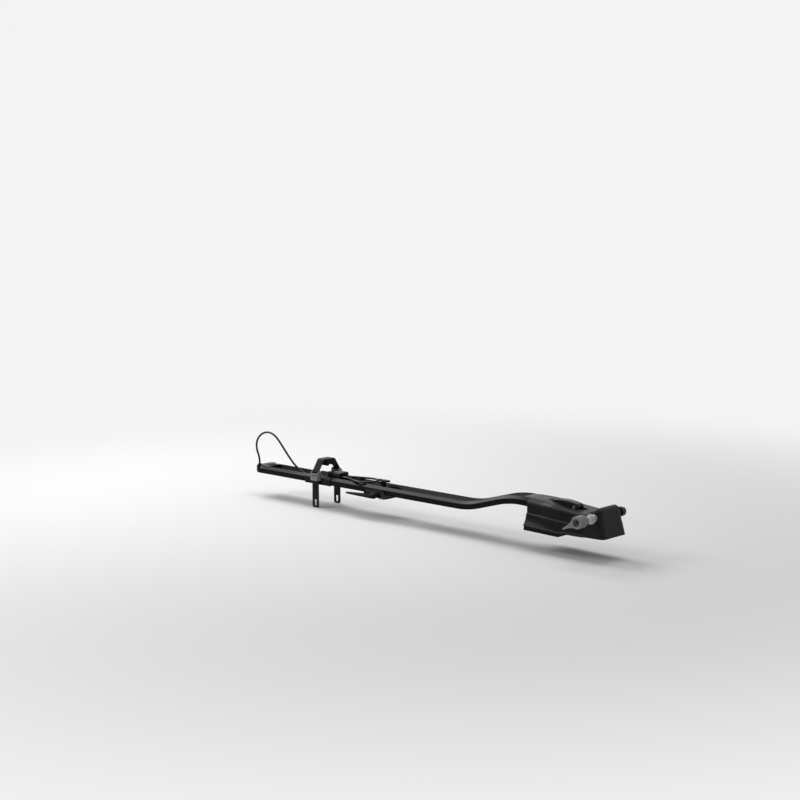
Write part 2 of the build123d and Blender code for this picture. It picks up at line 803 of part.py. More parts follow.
# Front base: rubber pad under the whole foot
ledge_line = [(base_rear - overrun, base_stations[0][2])] + [(s[0], s[2]) for s in base_stations]
foot_plan = [(s[0], s[1]) for s in base_stations]
screw_places = [(x, side * screw_y) for x in screw_xs for side in (-1, 1)]
head_screw_places = [(head_screw_x, side * head_screw_y) for side in (-1, 1)]
with BuildPart() as bar_pad:
    with BuildSketch(Plane.XY.offset(-lip_depth)) as bar_pad_plan:
        with BuildLine():
            Polyline(
                *[(x, -half) for x, half in foot_plan],
                *[(x, half) for x, half in reversed(foot_plan)],
                close=True,
            )
        make_face()
        fillet(bar_pad_plan.vertices().group_by(Axis.X)[0], foot_corner)
    extrude(amount=lip_depth + base_stations[0][2] + edge_round, taper=degrees(atan(pad_draft / lip_depth)))
    # underside: lip behind the crossbar, flat seat, rise to the front
    with BuildSketch(Plane.XZ):
        with BuildLine():
            Polyline(
                (base_rear - overrun, -lip_depth - overrun),
                (base_rear - overrun, -lip_depth_rear),
                (lip_front, -lip_depth),
                (seat_rear, 0),
                (base_seam + overrun, 0),
                (base_seam + overrun, -lip_depth - overrun),
                close=True,
            )
        make_face()
        # top follows the shell's lower edge
        with BuildLine():
            Polyline(
                *ledge_line,
                (base_seam, pad_top_z + overrun),
                (base_rear - overrun, pad_top_z + overrun),
                close=True,
            )
        make_face()
    extrude(amount=base_stations[0][1] + overrun, both=True, mode=Mode.SUBTRACT)
    with BuildSketch(Plane.XZ):
        with BuildLine():
            Polyline(
                (base_rear + skin + fit, base_stations[0][2] - edge_round),
                *ledge_line[2:-1],
                (base_seam - fit, base_stations[-1][2]),
                (base_seam - fit, pad_top_z),
                (base_rear + skin + fit, pad_top_z),
                close=True,
            )
        make_face()
    extrude(amount=base_stations[0][3] - ridge_step - 2 * skin, both=True)
    with Locations((0, 0, 0)):
        Hole(bolt_hole, 4 * pad_top_z)
    with Locations(*[Location((x, y, -lip_depth), (180, 0, 0)) for x, y in screw_places]):
        Hole(screw_radius + fit, 2 * lip_depth + pad_top_z)
        Hole(2 * screw_radius + fit, screw_sink)
bar_pad.part.label = "bar_pad"
export_step(bar_pad.part, "parts/bar_pad.step")


def shell_points(station, inset):
    """Half section of the shell at one station: foot, flange, flare, ridge and wall."""
    x, foot, ledge, ridge, ridge_z, wall, edge_z, crest_half, crest_top = station
    foot_half = foot - pad_draft - pad_lap - inset
    drop = 0 if inset == 0 else overrun
    return (
        (foot_half, ledge - drop),
        (foot_half - flange_slope, ledge + flange_height - inset / 2),
        (foot_half - flange_slope - flange_inset, ledge + flange_height + flange_roll - inset / 2),
        (ridge - inset, ridge_z - inset / 2),
        (wall + ridge_step - inset, ridge_z + ridge_drop),
        (wall - inset, edge_z - bonnet_band + drop),
    )


with BuildPart() as base_shell:
    for inset, mode in ((0, Mode.ADD), (skin, Mode.SUBTRACT)):
        for station in base_stations:
            points = shell_points(station, inset)
            x = station[0]
            if inset and station is base_stations[0]:
                x = x + skin
            if inset and station is base_stations[-1]:
                x = x + overrun
            flare = ((points[2][0] + points[3][0]) / 2 - flare_sag, (points[2][1] + points[3][1]) / 2)
            mirrored = [(-y, z) for y, z in reversed(points)]
            with BuildSketch(Plane.YZ.offset(x)):
                with BuildLine():
                    Polyline(*points[:3])
                    ThreePointArc(points[2], flare, points[3])
                    Polyline(*points[3:], *mirrored[:3])
                    ThreePointArc(mirrored[2], (-flare[0], flare[1]), mirrored[3])
                    Polyline(*mirrored[3:], points[0])
                make_face()
        loft(ruled=True, mode=mode)
    # opening in the rear wall for the rail's tongue
    with BuildSketch(Plane.XZ):
        with BuildLine():
            Polyline(
                (base_rear - overrun, rail_under(base_rear - overrun) - fit),
                (base_rear + overrun, rail_under(base_rear + overrun) - fit),
                (base_rear + overrun, rail_under(base_rear + overrun) + tongue_height + fit),
                (base_rear - overrun, rail_under(base_rear - overrun) + tongue_height + fit),
                close=True,
            )
        make_face()
    extrude(amount=tongue_width / 2 + fit, both=True, mode=Mode.SUBTRACT)
base_shell.part.label = "base_shell"
export_step(base_shell.part, "parts/base_shell.step")

# Plug that fills the rail's channel behind the base, moulded with the bonnet
with BuildPart() as nose_plug:
    with BuildLine(Plane.XZ) as nose_path:
        FilletPolyline(*rail_line_points(), radius=rail_radii)
    with BuildSketch(rail_end_plane):
        with BuildLine():
            Polyline(
                (-floor_width / 2 + fit, rail_web + fit),
                (floor_width / 2 - fit, rail_web + fit),
                (crest_span / 2 - fit, rail_height),
                (crest_span / 2 - fit, rail_height + nose_rise),
                (-crest_span / 2 + fit, rail_height + nose_rise),
                (-crest_span / 2 + fit, rail_height),
                close=True,
            )
        make_face()
    sweep(path=nose_path.wires()[0])
    with BuildSketch(Plane.XZ):
        with BuildLine():
            Polyline(
                (base_rear - nose_length, 0),
                (base_rear - nose_length, bend_high_z + 2 * rail_web),
                (base_rear - nose_ramp, base_stations[0][8] - edge_round),
                (base_rear, base_stations[0][8]),
                (base_rear, 0),
                close=True,
            )
        make_face()
    extrude(amount=rail_width, both=True, mode=Mode.INTERSECT)

# Bonnet: top cover with a well for the clamp lever
well_floor = (
    (well_rear_x, well_floor_rear),
    (well_mid_x, well_floor_mid),
    (well_flat_x, well_floor_front),
    (cam_plate_front + edge_round, well_floor_front),
)
with BuildPart() as bonnet:
    for inset, mode in ((0, Mode.ADD), (skin, Mode.SUBTRACT)):
        for station in base_stations:
            x, foot, ledge, ridge, ridge_z, wall, edge_z, crest_half, crest_top = station
            if inset and station is base_stations[0]:
                x = x + skin
            if inset and station is base_stations[-1]:
                x = x + overrun
            low = edge_z - bonnet_band - (overrun if inset else 0)
            half = wall - inset
            with BuildSketch(Plane.YZ.offset(x)):
                with BuildLine():
                    Polyline(
                        (-half, low),
                        (half, low),
                        (half, edge_z - inset),
                        (crest_half - inset / 2, crest_top - inset),
                        (-crest_half + inset / 2, crest_top - inset),
                        (-half, edge_z - inset),
                        close=True,
                    )
                make_face()
        loft(ruled=True, mode=mode)
    # walls and floor of the well, then the well itself
    with BuildSketch(Plane.XZ):
        with BuildLine():
            Polyline(
                (well_end_x - skin, well_floor_rear + overrun),
                *[(x, z - skin) for x, z in well_floor],
                (base_seam - skin, well_floor_front - skin),
                *[(s[0], s[8] - skin / 2) for s in reversed(base_stations[1:-1])],
                close=True,
            )
        make_face()
    extrude(amount=well_half + skin, both=True)
    with BuildSketch(Plane.XZ):
        with BuildLine():
            Polyline(
                (well_end_x, base_stations[0][8] + overrun),
                *well_floor,
                (cam_plate_front + well_half, base_stations[0][8] + overrun),
                close=True,
            )
        make_face()
    extrude(amount=well_half, both=True, mode=Mode.SUBTRACT)
    with Locations((0, 0, well_floor_front)):
        Hole(bolt_hole, 2 * skin)
    add(nose_plug.part)
bonnet.part.label = "bonnet"
export_step(bonnet.part, "parts/bonnet.step")

# Bracket inside the base: plate, saddle under the tongue, column round the T-bolt, and
# the two cheeks that carry the axle's tube
front_lean = (head_front - head_front_top_x) / (head_top_z - head_base_z)


def head_front_x(z, inset):
    return head_front - front_lean * (z - head_base_z) - inset * hypot(1, front_lean)


with BuildPart() as base_bracket:
    with BuildSketch(Plane.XY.offset(pad_top_z)):
        with Locations(((saddle_rear + plate_front) / 2, 0)):
            RectangleRounded(plate_front - saddle_rear, 2 * plate_half, 4 * edge_round)
    extrude(amount=plate_thick)
    with BuildSketch(Plane.XZ):
        with BuildLine():
            Polyline(
                (saddle_rear, pad_top_z),
                (tongue_front, pad_top_z),
                (tongue_front, rail_under(tongue_front)),
                (saddle_rear, rail_under(saddle_rear)),
                close=True,
            )
        make_face()
        window_top = rail_under(tongue_front) - 2 * plate_thick
        for x in window_xs:
            with Locations((x, (pad_top_z + plate_thick + window_top) / 2)):
                RectangleRounded(
                    window_length, window_top - pad_top_z - plate_thick, 2 * edge_round, mode=Mode.SUBTRACT
                )
    extrude(amount=saddle_half, both=True)
    with BuildSketch(Plane.XZ):
        with BuildLine():
            Polyline(
                (tongue_front - plate_thick, pad_top_z),
                (plate_front, pad_top_z),
                (plate_front, pad_top_z + 2 * plate_thick),
                (tongue_front - plate_thick, rail_under(tongue_front)),
                close=True,
            )
        make_face()
    extrude(amount=plate_thick / 2, both=True)
    with BuildSketch(Plane.XY.offset(pad_top_z)):
        Circle(column_radius)
    extrude(amount=well_floor_front - skin - pad_top_z)
    with BuildSketch(Plane.XZ) as carrier_side:
        with BuildLine():
            Polyline(
                (carrier_rear, pad_top_z),
                (head_front_x(pad_top_z, head_wall + fit), pad_top_z),
                (head_front_x(axle_z + carrier_round, head_wall + fit), axle_z + carrier_round),
                (axle_x - carrier_round, axle_z + carrier_round),
                (carrier_rear, axle_z - carrier_round),
                close=True,
            )
        make_face()
    extrude(amount=carrier_outer, both=True)
    with BuildSketch(Plane.XZ):
        with Locations((axle_x, (pad_top_z + plate_thick + axle_z + head_top_z) / 2)):
            Rectangle(head_front, axle_z + head_top_z - pad_top_z - plate_thick)
    extrude(amount=carrier_outer - plate_thick, both=True, mode=Mode.SUBTRACT)
    with Locations((0, 0, well_floor_front)):
        Hole(bolt_hole, bend_high_z * 2)
    with Locations(*[(x, 0, rail_under(x)) for x in rail_bolt_xs]):
        Hole(rail_bolt_radius, rail_bolt_depth)
    with Locations(*[Location((x, y, pad_top_z), (180, 0, 0)) for x, y in screw_places]):
        Hole(screw_radius, plate_thick)
    with Locations(*[Location((x, y, pad_top_z), (180, 0, 0)) for x, y in head_screw_places]):
        Hole(screw_radius, plate_thick)
    with Locations(Location((axle_x, 0, axle_z), (90, 0, 0))):
        Hole(tube_radius + running, 4 * carrier_outer)
base_bracket.part.label = "base_bracket"
export_step(base_bracket.part, "parts/base_bracket.step")

# Head: moulded housing round the axle


def head_block(inset, rounding, rear):
    """Solid of the head, drawn in by inset on every side but the seam."""
    side_points = [
        (base_seam, base_stations[-1][2] + inset),
        (head_front_x(head_base_z + inset, inset), head_base_z + inset),
        (head_front_x(head_top_z - inset, inset), head_top_z - inset),
        (head_rear_top_x, head_rear_top_z - inset),
        (base_seam, base_stations[-1][8] - inset),
    ]
    if rear < base_seam:
        side_points[0] = (rear, side_points[0][1])
        side_points.append((rear, side_points[-1][1]))
    with BuildPart() as block:
        with BuildSketch(Plane.XZ):
            with BuildLine():
                Polyline(*side_points, close=True)
            make_face()
        extrude(amount=head_half, both=True)
        # seen from the front, the sides lean in towards the top
        with BuildSketch(Plane.YZ.offset(rear)):
            with BuildLine():
                Polyline(
                    (-head_half + inset, 0),
                    (head_half - inset, 0),
                    (head_half - inset, head_base_z),
                    (head_top_half - inset, head_top_z),
                    (-head_top_half + inset, head_top_z),
                    (-head_half + inset, head_base_z),
                    close=True,
                )
            make_face()
        extrude(amount=2 * head_front, mode=Mode.INTERSECT)
        side_edges = block.edges().filter_by(lambda edge: abs(edge.center().Y) > head_top_half / 2)
        crown_edge = block.edges().filter_by(Axis.Y).group_by(Axis.Z)[-1]
        front_edges = side_edges.filter_by(lambda edge: edge.center().X > base_seam + edge_round)
        upper_edges = front_edges.filter_by(lambda edge: edge.center().Z > head_base_z + inset + edge_round)
        fillet(upper_edges + crown_edge, rounding)
    return block.part


head_core = head_block(head_wall, head_round - head_wall, base_seam - overrun)
with BuildPart() as head_shell:
    add(head_block(0, head_round, base_seam))
    add(head_core, mode=Mode.SUBTRACT)
    with Locations(Location((axle_x, 0, axle_z), (90, 0, 0))):
        Hole(bush_radius + running, 2 * head_half)
    with Locations(*[Location((x, y, 0), (180, 0, 0)) for x, y in head_screw_places]):
        Hole(screw_radius + fit, 2 * pad_top_z)
head_shell.part.label = "head_shell"
export_step(head_shell.part, "parts/head_shell.step")

# Axle: tube across the head, a bush at each end, the skewer, the nut and the knob
with BuildPart() as axle_tube:
    with BuildSketch(Plane.XZ):
        with Locations((axle_x, axle_z)):
            Circle(tube_radius)
            Circle(tube_bore, mode=Mode.SUBTRACT)
    extrude(amount=axle_half - bush_thick, both=True)
axle_tube.part.label = "axle_tube"
export_step(axle_tube.part, "parts/axle_tube.step")

for name, side in (("near", -1), ("far", 1)):
    with BuildPart() as axle_bush:
        with Locations(Location((axle_x, side * axle_half, axle_z), (-side * 90, 0, 0))):
            Cylinder(bush_radius, bush_thick, align=downwards)
        with Locations(Location((axle_x, side * (axle_half - bush_thick), axle_z), (-side * 90, 0, 0))):
            Cylinder(tube_bore - running, bush_spigot, align=downwards)
        with Locations(Location((axle_x, 0, axle_z), (90, 0, 0))):
            Hole(skewer_radius + running, 2 * axle_half)
        outer_rim = axle_bush.faces().sort_by(Axis.Y)[-1 if side > 0 else 0].edges()
        fillet(outer_rim.sort_by(SortBy.RADIUS)[-1], edge_round)
    axle_bush.part.label = f"axle_bush_{name}"
    export_step(axle_bush.part, f"parts/axle_bush_{name}.step")

nut_face = axle_half + fork_gap
with BuildPart() as skewer:
    with BuildSketch(Plane.XZ.offset(-nut_face - nut_length)):
        with Locations((axle_x, axle_z)):
            Circle(skewer_radius)
    extrude(amount=nut_face + nut_length + nut_face + collar_length + skewer_in_knob)
    chamfer(skewer.faces().sort_by(Axis.Y)[0].edges(), edge_round)
skewer.part.label = "skewer"
export_step(skewer.part, "parts/skewer.step")

with BuildPart() as far_nut:
    with BuildSketch(Plane.XZ.offset(-nut_face)):
        with Locations((axle_x, axle_z)):
            Circle(nut_radius)
    extrude(amount=-nut_length)
    fillet(far_nut.faces().sort_by(Axis.Y)[-1].edges(), 2 * edge_round)
    # two flats for a spanner
    with Locations(*[(axle_x, nut_face + nut_length, axle_z + side * nut_radius) for side in (-1, 1)]):
        Box(2 * nut_radius, nut_length, nut_radius / 3, mode=Mode.SUBTRACT)
    with Locations(Location((axle_x, 0, axle_z), (90, 0, 0))):
        Hole(skewer_radius + running, 4 * nut_face)
far_nut.part.label = "far_nut"
export_step(far_nut.part, "parts/far_nut.step")

with BuildPart() as collar:
    with BuildSketch(Plane.XZ.offset(nut_face)):
        with Locations((axle_x, axle_z)):
            Circle(collar_radius)
            Circle(skewer_radius + running, mode=Mode.SUBTRACT)
    extrude(amount=collar_length)
    with BuildSketch(Plane.XZ.offset(nut_face)):
        with Locations((axle_x, axle_z)):
            Circle(nut_radius)
            Circle(skewer_radius + running, mode=Mode.SUBTRACT)
    extrude(amount=collar_flange)
collar.part.label = "collar"
export_step(collar.part, "parts/collar.step")

# Knob: round hub with a teardrop tail, drawn in a plane across the axle
knob_near = nut_face + collar_length
tail_run = hypot(axle_x - knob_tail_x, axle_z - knob_tail_z)
knob_plane = Plane(
    origin=(axle_x, -knob_near, axle_z),
    x_dir=(knob_tail_x - axle_x, 0, knob_tail_z - axle_z),
    z_dir=(0, -1, 0),
)
tail_face = knob_length - knob_tail_back
with BuildPart() as knob_body:
    with BuildSketch(knob_plane):
        Circle(knob_root_radius)
    with BuildSketch(knob_plane.offset(knob_root_length)):
        Circle(knob_radius)
    loft()
    with BuildSketch(knob_plane.offset(knob_root_length)):
        Circle(knob_radius)
    extrude(amount=knob_length - knob_root_length)
    # tail: flanks curve in to a slim tip
    with BuildSketch(knob_plane.offset(tail_face - knob_tail_root)):
        root = knob_radius * cos(pi / 4)
        tip = tail_run - knob_tail_radius
        waist = (root + tip) / 2
        with BuildLine():
            ThreePointArc((root, root), (waist, knob_tail_waist), (tip, knob_tail_radius))
            ThreePointArc((tip, knob_tail_radius), (tail_run, 0), (tip, -knob_tail_radius))
            ThreePointArc((tip, -knob_tail_radius), (waist, -knob_tail_waist), (root, -root))
            Line((root, -root), (root, root))
        make_face()
    extrude(amount=knob_tail_root)
    # the tail thins from both sides
    with BuildSketch(Plane(origin=knob_plane.origin, x_dir=knob_plane.x_dir, z_dir=-knob_plane.y_dir)):
        tail_middle = tail_face - knob_tail_root / 2
        for side, face in ((1, tail_face), (-1, tail_face - knob_tail_root)):
            with BuildLine():
                Polyline(
                    (knob_radius, face),
                    (tail_run + overrun, tail_middle + side * knob_tail_thick / 2),
                    (tail_run + overrun, face + side * overrun),
                    (knob_radius, face + side * overrun),
                    close=True,
                )
            make_face()
    extrude(amount=2 * knob_radius, both=True, mode=Mode.SUBTRACT)
    fillet(knob_body.faces().sort_by(Axis.Y)[0].edges(), knob_round)
    fillet(knob_body.faces().sort_by(Axis.Y)[-1].edges(), edge_round)
    with Locations(Location((axle_x, -knob_near - knob_length, axle_z), (90, 0, 0))):
        Hole(knob_recess_radius, knob_recess_depth)
        Hole(lock_core_radius + running, knob_recess_depth + knob_lock_length)
    with Locations(Location((axle_x, -knob_near, axle_z), (-90, 0, 0))):
        Hole(skewer_radius + running, skewer_in_knob + knob_travel + edge_round)
knob_body.part.label = "knob_body"
export_step(knob_body.part, "parts/knob_body.step")

with BuildPart() as knob_lock:
    with BuildSketch(Plane.XZ.offset(knob_near + knob_length - knob_recess_depth - knob_lock_length)):
        with Locations((axle_x, axle_z)):
            Circle(lock_core_radius)
    extrude(amount=knob_lock_length + lock_core_proud)
    fillet(knob_lock.faces().sort_by(Axis.Y)[0].edges(), edge_round / 2)
    with Locations((axle_x, -knob_near - knob_length + knob_recess_depth - lock_core_proud, axle_z)):
        Box(keyway_width, 2 * keyway_depth, keyway_length, mode=Mode.SUBTRACT)
knob_lock.part.label = "knob_lock"
export_step(knob_lock.part, "parts/knob_lock.step")

# Front clamp: T-bolt with an eye at its top, cam lever, its pin, the plate it presses on
with BuildPart() as front_bolt:
    with Locations((0, 0, -slot_lip)):
        Box(bolt_head_width, bolt_head_length, bolt_head_thick, align=downwards)
    fillet(front_bolt.edges().filter_by(Axis.Z), 2 * edge_round)
    with BuildSketch(Plane.XY.offset(-slot_lip)):
        Circle(bolt_radius)
    extrude(amount=lever_pivot_z + slot_lip)
    with BuildSketch(Plane.XZ):
        with Locations((0, lever_pivot_z)):
            Circle(lever_eye_radius)
    extrude(amount=lever_eye_half, both=True)
    with Locations(Location((0, 0, lever_pivot_z), (90, 0, 0))):
        Hole(lever_pin_radius + running, 4 * lever_eye_half)
front_bolt.part.label = "front_bolt"
export_step(front_bolt.part, "parts/front_bolt.step")

with BuildPart() as cam_plate:
    with BuildSketch(Plane.XY.offset(well_floor_front)):
        with Locations(((cam_plate_front - cam_plate_rear) / 2, 0)):
            RectangleRounded(cam_plate_front + cam_plate_rear, 2 * lever_half, 2 * edge_round)
        Circle(bolt_hole, mode=Mode.SUBTRACT)
    extrude(amount=cam_plate_thick)
    with BuildSketch(Plane.XZ):
        with BuildLine():
            Polyline(
                (cam_plate_front - 2 * cam_toe_height, well_floor_front + cam_plate_thick),
                (cam_plate_front - cam_toe_height / 2, well_floor_front + cam_plate_thick + cam_toe_height),
                (cam_plate_front, well_floor_front + cam_plate_thick + cam_toe_height / 2),
                (cam_plate_front, well_floor_front + cam_plate_thick),
                close=True,
            )
        make_face()
    extrude(amount=lever_half - 2 * edge_round, both=True)
cam_plate.part.label = "cam_plate"
export_step(cam_plate.part, "parts/cam_plate.step")

cam_z = lever_pivot_z - lever_cam_offset
with BuildPart() as clamp_lever:
    with BuildSketch(Plane.XZ):
        with BuildLine():
            ThreePointArc(
                (lever_tip_x, lever_tip_z),
                (lever_hump_x, lever_top_z),
                (lever_brow_x, lever_brow_z),
            )
            Polyline(
                (lever_brow_x, lever_brow_z),
                (lever_cam_radius - fit / 2, cam_z + lever_cam_offset),
                (0, cam_z),
                (-lever_cam_radius / 2, cam_z - lever_cam_radius + fit),
                (lever_belly_x, lever_belly_z),
                (lever_tip_x + edge_round, lever_tip_z - lever_tip_thick),
                (lever_tip_x, lever_tip_z),
            )
        make_face()
        with Locations((0, cam_z)):
            Circle(lever_cam_radius)
    extrude(amount=lever_half, both=True)
    side_faces = clamp_lever.faces().filter_by(Axis.Y)
    tops = side_faces.edges().filter_by(lambda edge: edge.center().Z > (lever_top_z + lever_brow_z) / 2)
    fillet(tops, 2 * edge_round)
    # hollow underside
    with BuildSketch(Plane.XZ):
        with BuildLine():
            Polyline(
                (lever_tip_x + 3 * skin, lever_belly_z - overrun),
                (lever_tip_x + 3 * skin, lever_tip_z - skin),
                (lever_hump_x, lever_top_z - lever_roof),
                (lever_lock_x - 3 * skin, lever_brow_z + fit),
                (lever_lock_x - 2 * skin, lever_belly_z - 2 * overrun),
                close=True,
            )
        make_face()
    extrude(amount=lever_half - skin, both=True, mode=Mode.SUBTRACT)
    # slot for the bolt's eye and shank, open from below to the front
    with BuildSketch(Plane.XZ):
        with Locations((0, lever_pivot_z)):
            Circle(lever_eye_radius + fit)
        with Locations((lever_eye_radius, lever_pivot_z - lever_eye_radius)):
            Rectangle(4 * lever_eye_radius + 2 * fit, 4 * lever_eye_radius + 2 * fit)
    extrude(amount=bolt_radius + fit, both=True, mode=Mode.SUBTRACT)
    with Locations(Location((0, 0, lever_pivot_z), (90, 0, 0))):
        Hole(lever_pin_radius, 4 * lever_half)
    with Locations(Location((lever_lock_x, -lever_half, lever_lock_z), (90, 0, 0))):
        Hole(lever_lock_radius + running, lever_lock_depth)
clamp_lever.part.label = "clamp_lever"
export_step(clamp_lever.part, "parts/clamp_lever.step")

with BuildPart() as lever_pin:
    with BuildSketch(Plane.XZ):
        with Locations((0, lever_pivot_z)):
            Circle(lever_pin_radius)
    extrude(amount=lever_half - fit, both=True)
lever_pin.part.label = "lever_pin"
export_step(lever_pin.part, "parts/lever_pin.step")

with BuildPart() as lever_lock:
    with BuildSketch(Plane.XZ.offset(lever_half - lever_lock_depth + fit)):
        with Locations((lever_lock_x, lever_lock_z)):
            Circle(lever_lock_radius)
    extrude(amount=lever_lock_depth + fit)
    with Locations((lever_lock_x, -lever_half - fit, lever_lock_z)):
        Box(keyway_width, 2 * keyway_depth, small_keyway_length, mode=Mode.SUBTRACT)
lever_lock.part.label = "lever_lock"
export_step(lever_lock.part, "parts/lever_lock.step")

# Bolts that hold the rail's tongue, and the screws under the foot and the head
for name, x in zip(("rear", "front"), rail_bolt_xs):
    with BuildPart() as rail_bolt:
        with Locations((x, 0, rail_under(x) + tongue_height - bolt_seat_depth)):
            Cylinder(rail_bolt_head_radius, rail_bolt_head_height, align=upwards)
            Cylinder(
                rail_bolt_radius,
                tongue_height - bolt_seat_depth + rail_bolt_depth - overrun,
                align=downwards,
            )
        fillet(rail_bolt.faces().sort_by(Axis.Z)[-1].edges(), edge_round)
    rail_bolt.part.label = f"rail_bolt_{name}"
    export_step(rail_bolt.part, f"parts/rail_bolt_{name}.step")

for number, (x, y) in enumerate(screw_places, 1):
    with BuildPart() as foot_screw:
        with Locations((x, y, screw_sink - lip_depth)):
            Cylinder(2 * screw_radius, screw_radius, align=downwards)
            Cylinder(
                screw_radius,
                pad_top_z + plate_thick - screw_sink + lip_depth,
                align=upwards,
            )
    foot_screw.part.label = f"foot_screw_{number}"
    export_step(foot_screw.part, f"parts/foot_screw_{number}.step")

for name, side in (("near", -1), ("far", 1)):
    with BuildPart() as head_screw:
        with Locations((head_screw_x, side * head_screw_y, head_screw_seat_z)):
            Cylinder(2 * screw_radius, screw_radius, align=downwards)
            Cylinder(
                screw_radius,
                pad_top_z + plate_thick - head_screw_seat_z,
                align=upwards,
            )
    head_screw.part.label = f"head_screw_{name}"
    export_step(head_screw.part, f"parts/head_screw_{name}.step")

# Lock of the security cable: a case that sits in the channel, its core and two ferrules
lock_base_z = floor_z + lock_lift
lock_top_z = lock_base_z + lock_height
lock_front_x = lock_rear_x + lock_length
with BuildPart() as lock_case:
    with BuildSketch(Plane.YZ.offset(lock_rear_x)):
        with BuildLine():
            Polyline(
                (-lock_base_half, lock_base_z),
                (lock_base_half, lock_base_z),
                (lock_width / 2, lock_seat_z),
                (lock_width / 2, lock_top_z),
                (-lock_width / 2, lock_top_z),
                (-lock_width / 2, lock_seat_z),
                close=True,
            )
        make_face()
    extrude(amount=lock_length)
    fillet(lock_case.edges().filter_by(Axis.X).group_by(Axis.Z)[-1], 6 * edge_round)
    fillet(lock_case.faces().sort_by(Axis.X)[0].edges(), 2 * edge_round)
    fillet(lock_case.faces().sort_by(Axis.X)[-1].edges(), 2 * edge_round)
    with Locations((lock_core_x, lock_core_y, lock_top_z)):
        Hole(lock_core_radius + running, lock_core_depth)
    with Locations(Location((lock_rear_x, 0, cable_port_z), (0, -90, 0))):
        Hole(cable_radius + running, ferrule_length)
    with Locations(*[Location((lock_front_x, side * noose_port_y, noose_z), (0, 90, 0)) for side in (-1, 1)]):
        Hole(cable_radius + running, ferrule_length)
lock_case.part.label = "lock_case"
export_step(lock_case.part, "parts/lock_case.step")

with BuildPart() as cable_lock:
    with BuildSketch(Plane.XY.offset(lock_top_z - lock_core_depth)):
        with Locations((lock_core_x, lock_core_y)):
            Circle(lock_core_radius)
    extrude(amount=lock_core_depth + lock_core_proud / 2)
    with Locations((lock_core_x, lock_core_y, lock_top_z + lock_core_proud / 2)):
        Box(keyway_length, keyway_width, 2 * keyway_depth, mode=Mode.SUBTRACT)
cable_lock.part.label = "cable_lock"
export_step(cable_lock.part, "parts/cable_lock.step")


def cord_radii(points):
    """Arc radius at each corner, from the shorter run beside it and half the turn."""
    radii = []
    for index in range(1, len(points) - 1):
        back = Vector(*points[index]) - Vector(*points[index - 1])
        ahead = Vector(*points[index + 1]) - Vector(*points[index])
        half_turn = radians(back.get_angle(ahead)) / 2
        radii.append(cord_share * min(back.length, ahead.length) / tan(half_turn))
    return radii


# Security cable: out of the cap upwards, an arch forward, then down into the channel
for name, route in (("security_cable", cable_route), ("cable_noose", noose_route)):
    radii = cord_radii(route)
    with BuildPart() as cord:
        with BuildLine() as cord_path:
            FilletPolyline(*route, radius=radii)
        with BuildSketch(Plane(origin=route[0], z_dir=Vector(*route[1]) - Vector(*route[0]))):
            Circle(cable_radius)
        sweep(path=cord_path.wires()[0])
    cord.part.label = name
    length = cord_path.wires()[0].length
    print(name, "length", round(length, 1), "radii", [round(radius, 1) for radius in radii])
    full_volume = pi * cable_radius**2 * length
    print(name, "volume over section times length", round(cord.part.volume / full_volume, 4))
    export_step(cord.part, f"parts/{name}.step")
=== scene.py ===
import math

import bpy
from mathutils import Matrix, Vector
from mathutils.bvhtree import BVHTree
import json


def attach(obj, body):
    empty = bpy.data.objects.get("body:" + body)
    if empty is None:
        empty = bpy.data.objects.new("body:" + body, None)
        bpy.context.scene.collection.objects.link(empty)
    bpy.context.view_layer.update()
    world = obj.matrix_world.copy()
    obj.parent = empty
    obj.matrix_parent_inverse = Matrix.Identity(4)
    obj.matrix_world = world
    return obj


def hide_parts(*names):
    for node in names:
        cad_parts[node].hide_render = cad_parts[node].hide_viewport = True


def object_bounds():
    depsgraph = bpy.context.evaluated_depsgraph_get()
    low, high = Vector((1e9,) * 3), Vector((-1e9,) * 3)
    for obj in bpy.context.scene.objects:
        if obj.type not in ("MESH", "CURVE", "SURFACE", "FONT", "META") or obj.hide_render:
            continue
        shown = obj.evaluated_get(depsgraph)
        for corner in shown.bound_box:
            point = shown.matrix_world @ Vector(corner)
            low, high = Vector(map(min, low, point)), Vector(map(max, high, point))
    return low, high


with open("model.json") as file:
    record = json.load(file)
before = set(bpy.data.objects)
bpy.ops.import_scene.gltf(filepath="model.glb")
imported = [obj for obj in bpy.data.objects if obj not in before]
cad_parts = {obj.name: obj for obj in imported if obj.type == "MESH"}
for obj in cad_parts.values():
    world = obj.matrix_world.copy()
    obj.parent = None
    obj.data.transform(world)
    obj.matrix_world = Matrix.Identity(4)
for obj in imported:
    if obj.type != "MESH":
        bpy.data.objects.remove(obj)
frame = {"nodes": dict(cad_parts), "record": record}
nodes = frame["nodes"]
start_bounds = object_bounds()
scene = bpy.context.scene

# Sizes, in metres and degrees, with the lens and the sensor in millimetres
camera_place = (2.3926, -3.2656, 0.8994)
camera_azimuth = 42.74
camera_elevation = 7.90
camera_roll = -0.026
camera_lens = 71.96
camera_reach = 100.0
sensor_width = 36.0

cable_radius = 0.003
cable_length = 0.43
noose_length = 0.29

cord_order = 3
cord_roundness = 6
cord_steps = 24

hex_sides = 6
hex_radius = 0.0021
hex_depth = 0.0002

rib_length = 0.01
rib_radius = 0.0007
rib_sink = 0.00025
rib_facets = 12
ray_height = 1.0
quarter_turn = math.pi / 2

# Rows of grip ribs: body, rib length, first rib's place, step along the tray and number of ribs
rib_rows = (
    ("clamp_lever", 0.012, ((-0.070, 0.0, 0.004, 5),)),
    ("swing_lever", 0.006, ((-0.789, -0.050, 0.003, 5),)),
    ("t_handle", 0.008, ((-0.7065, 0.0, 0.003, 3), (-0.6695, 0.0, -0.003, 3))),
)

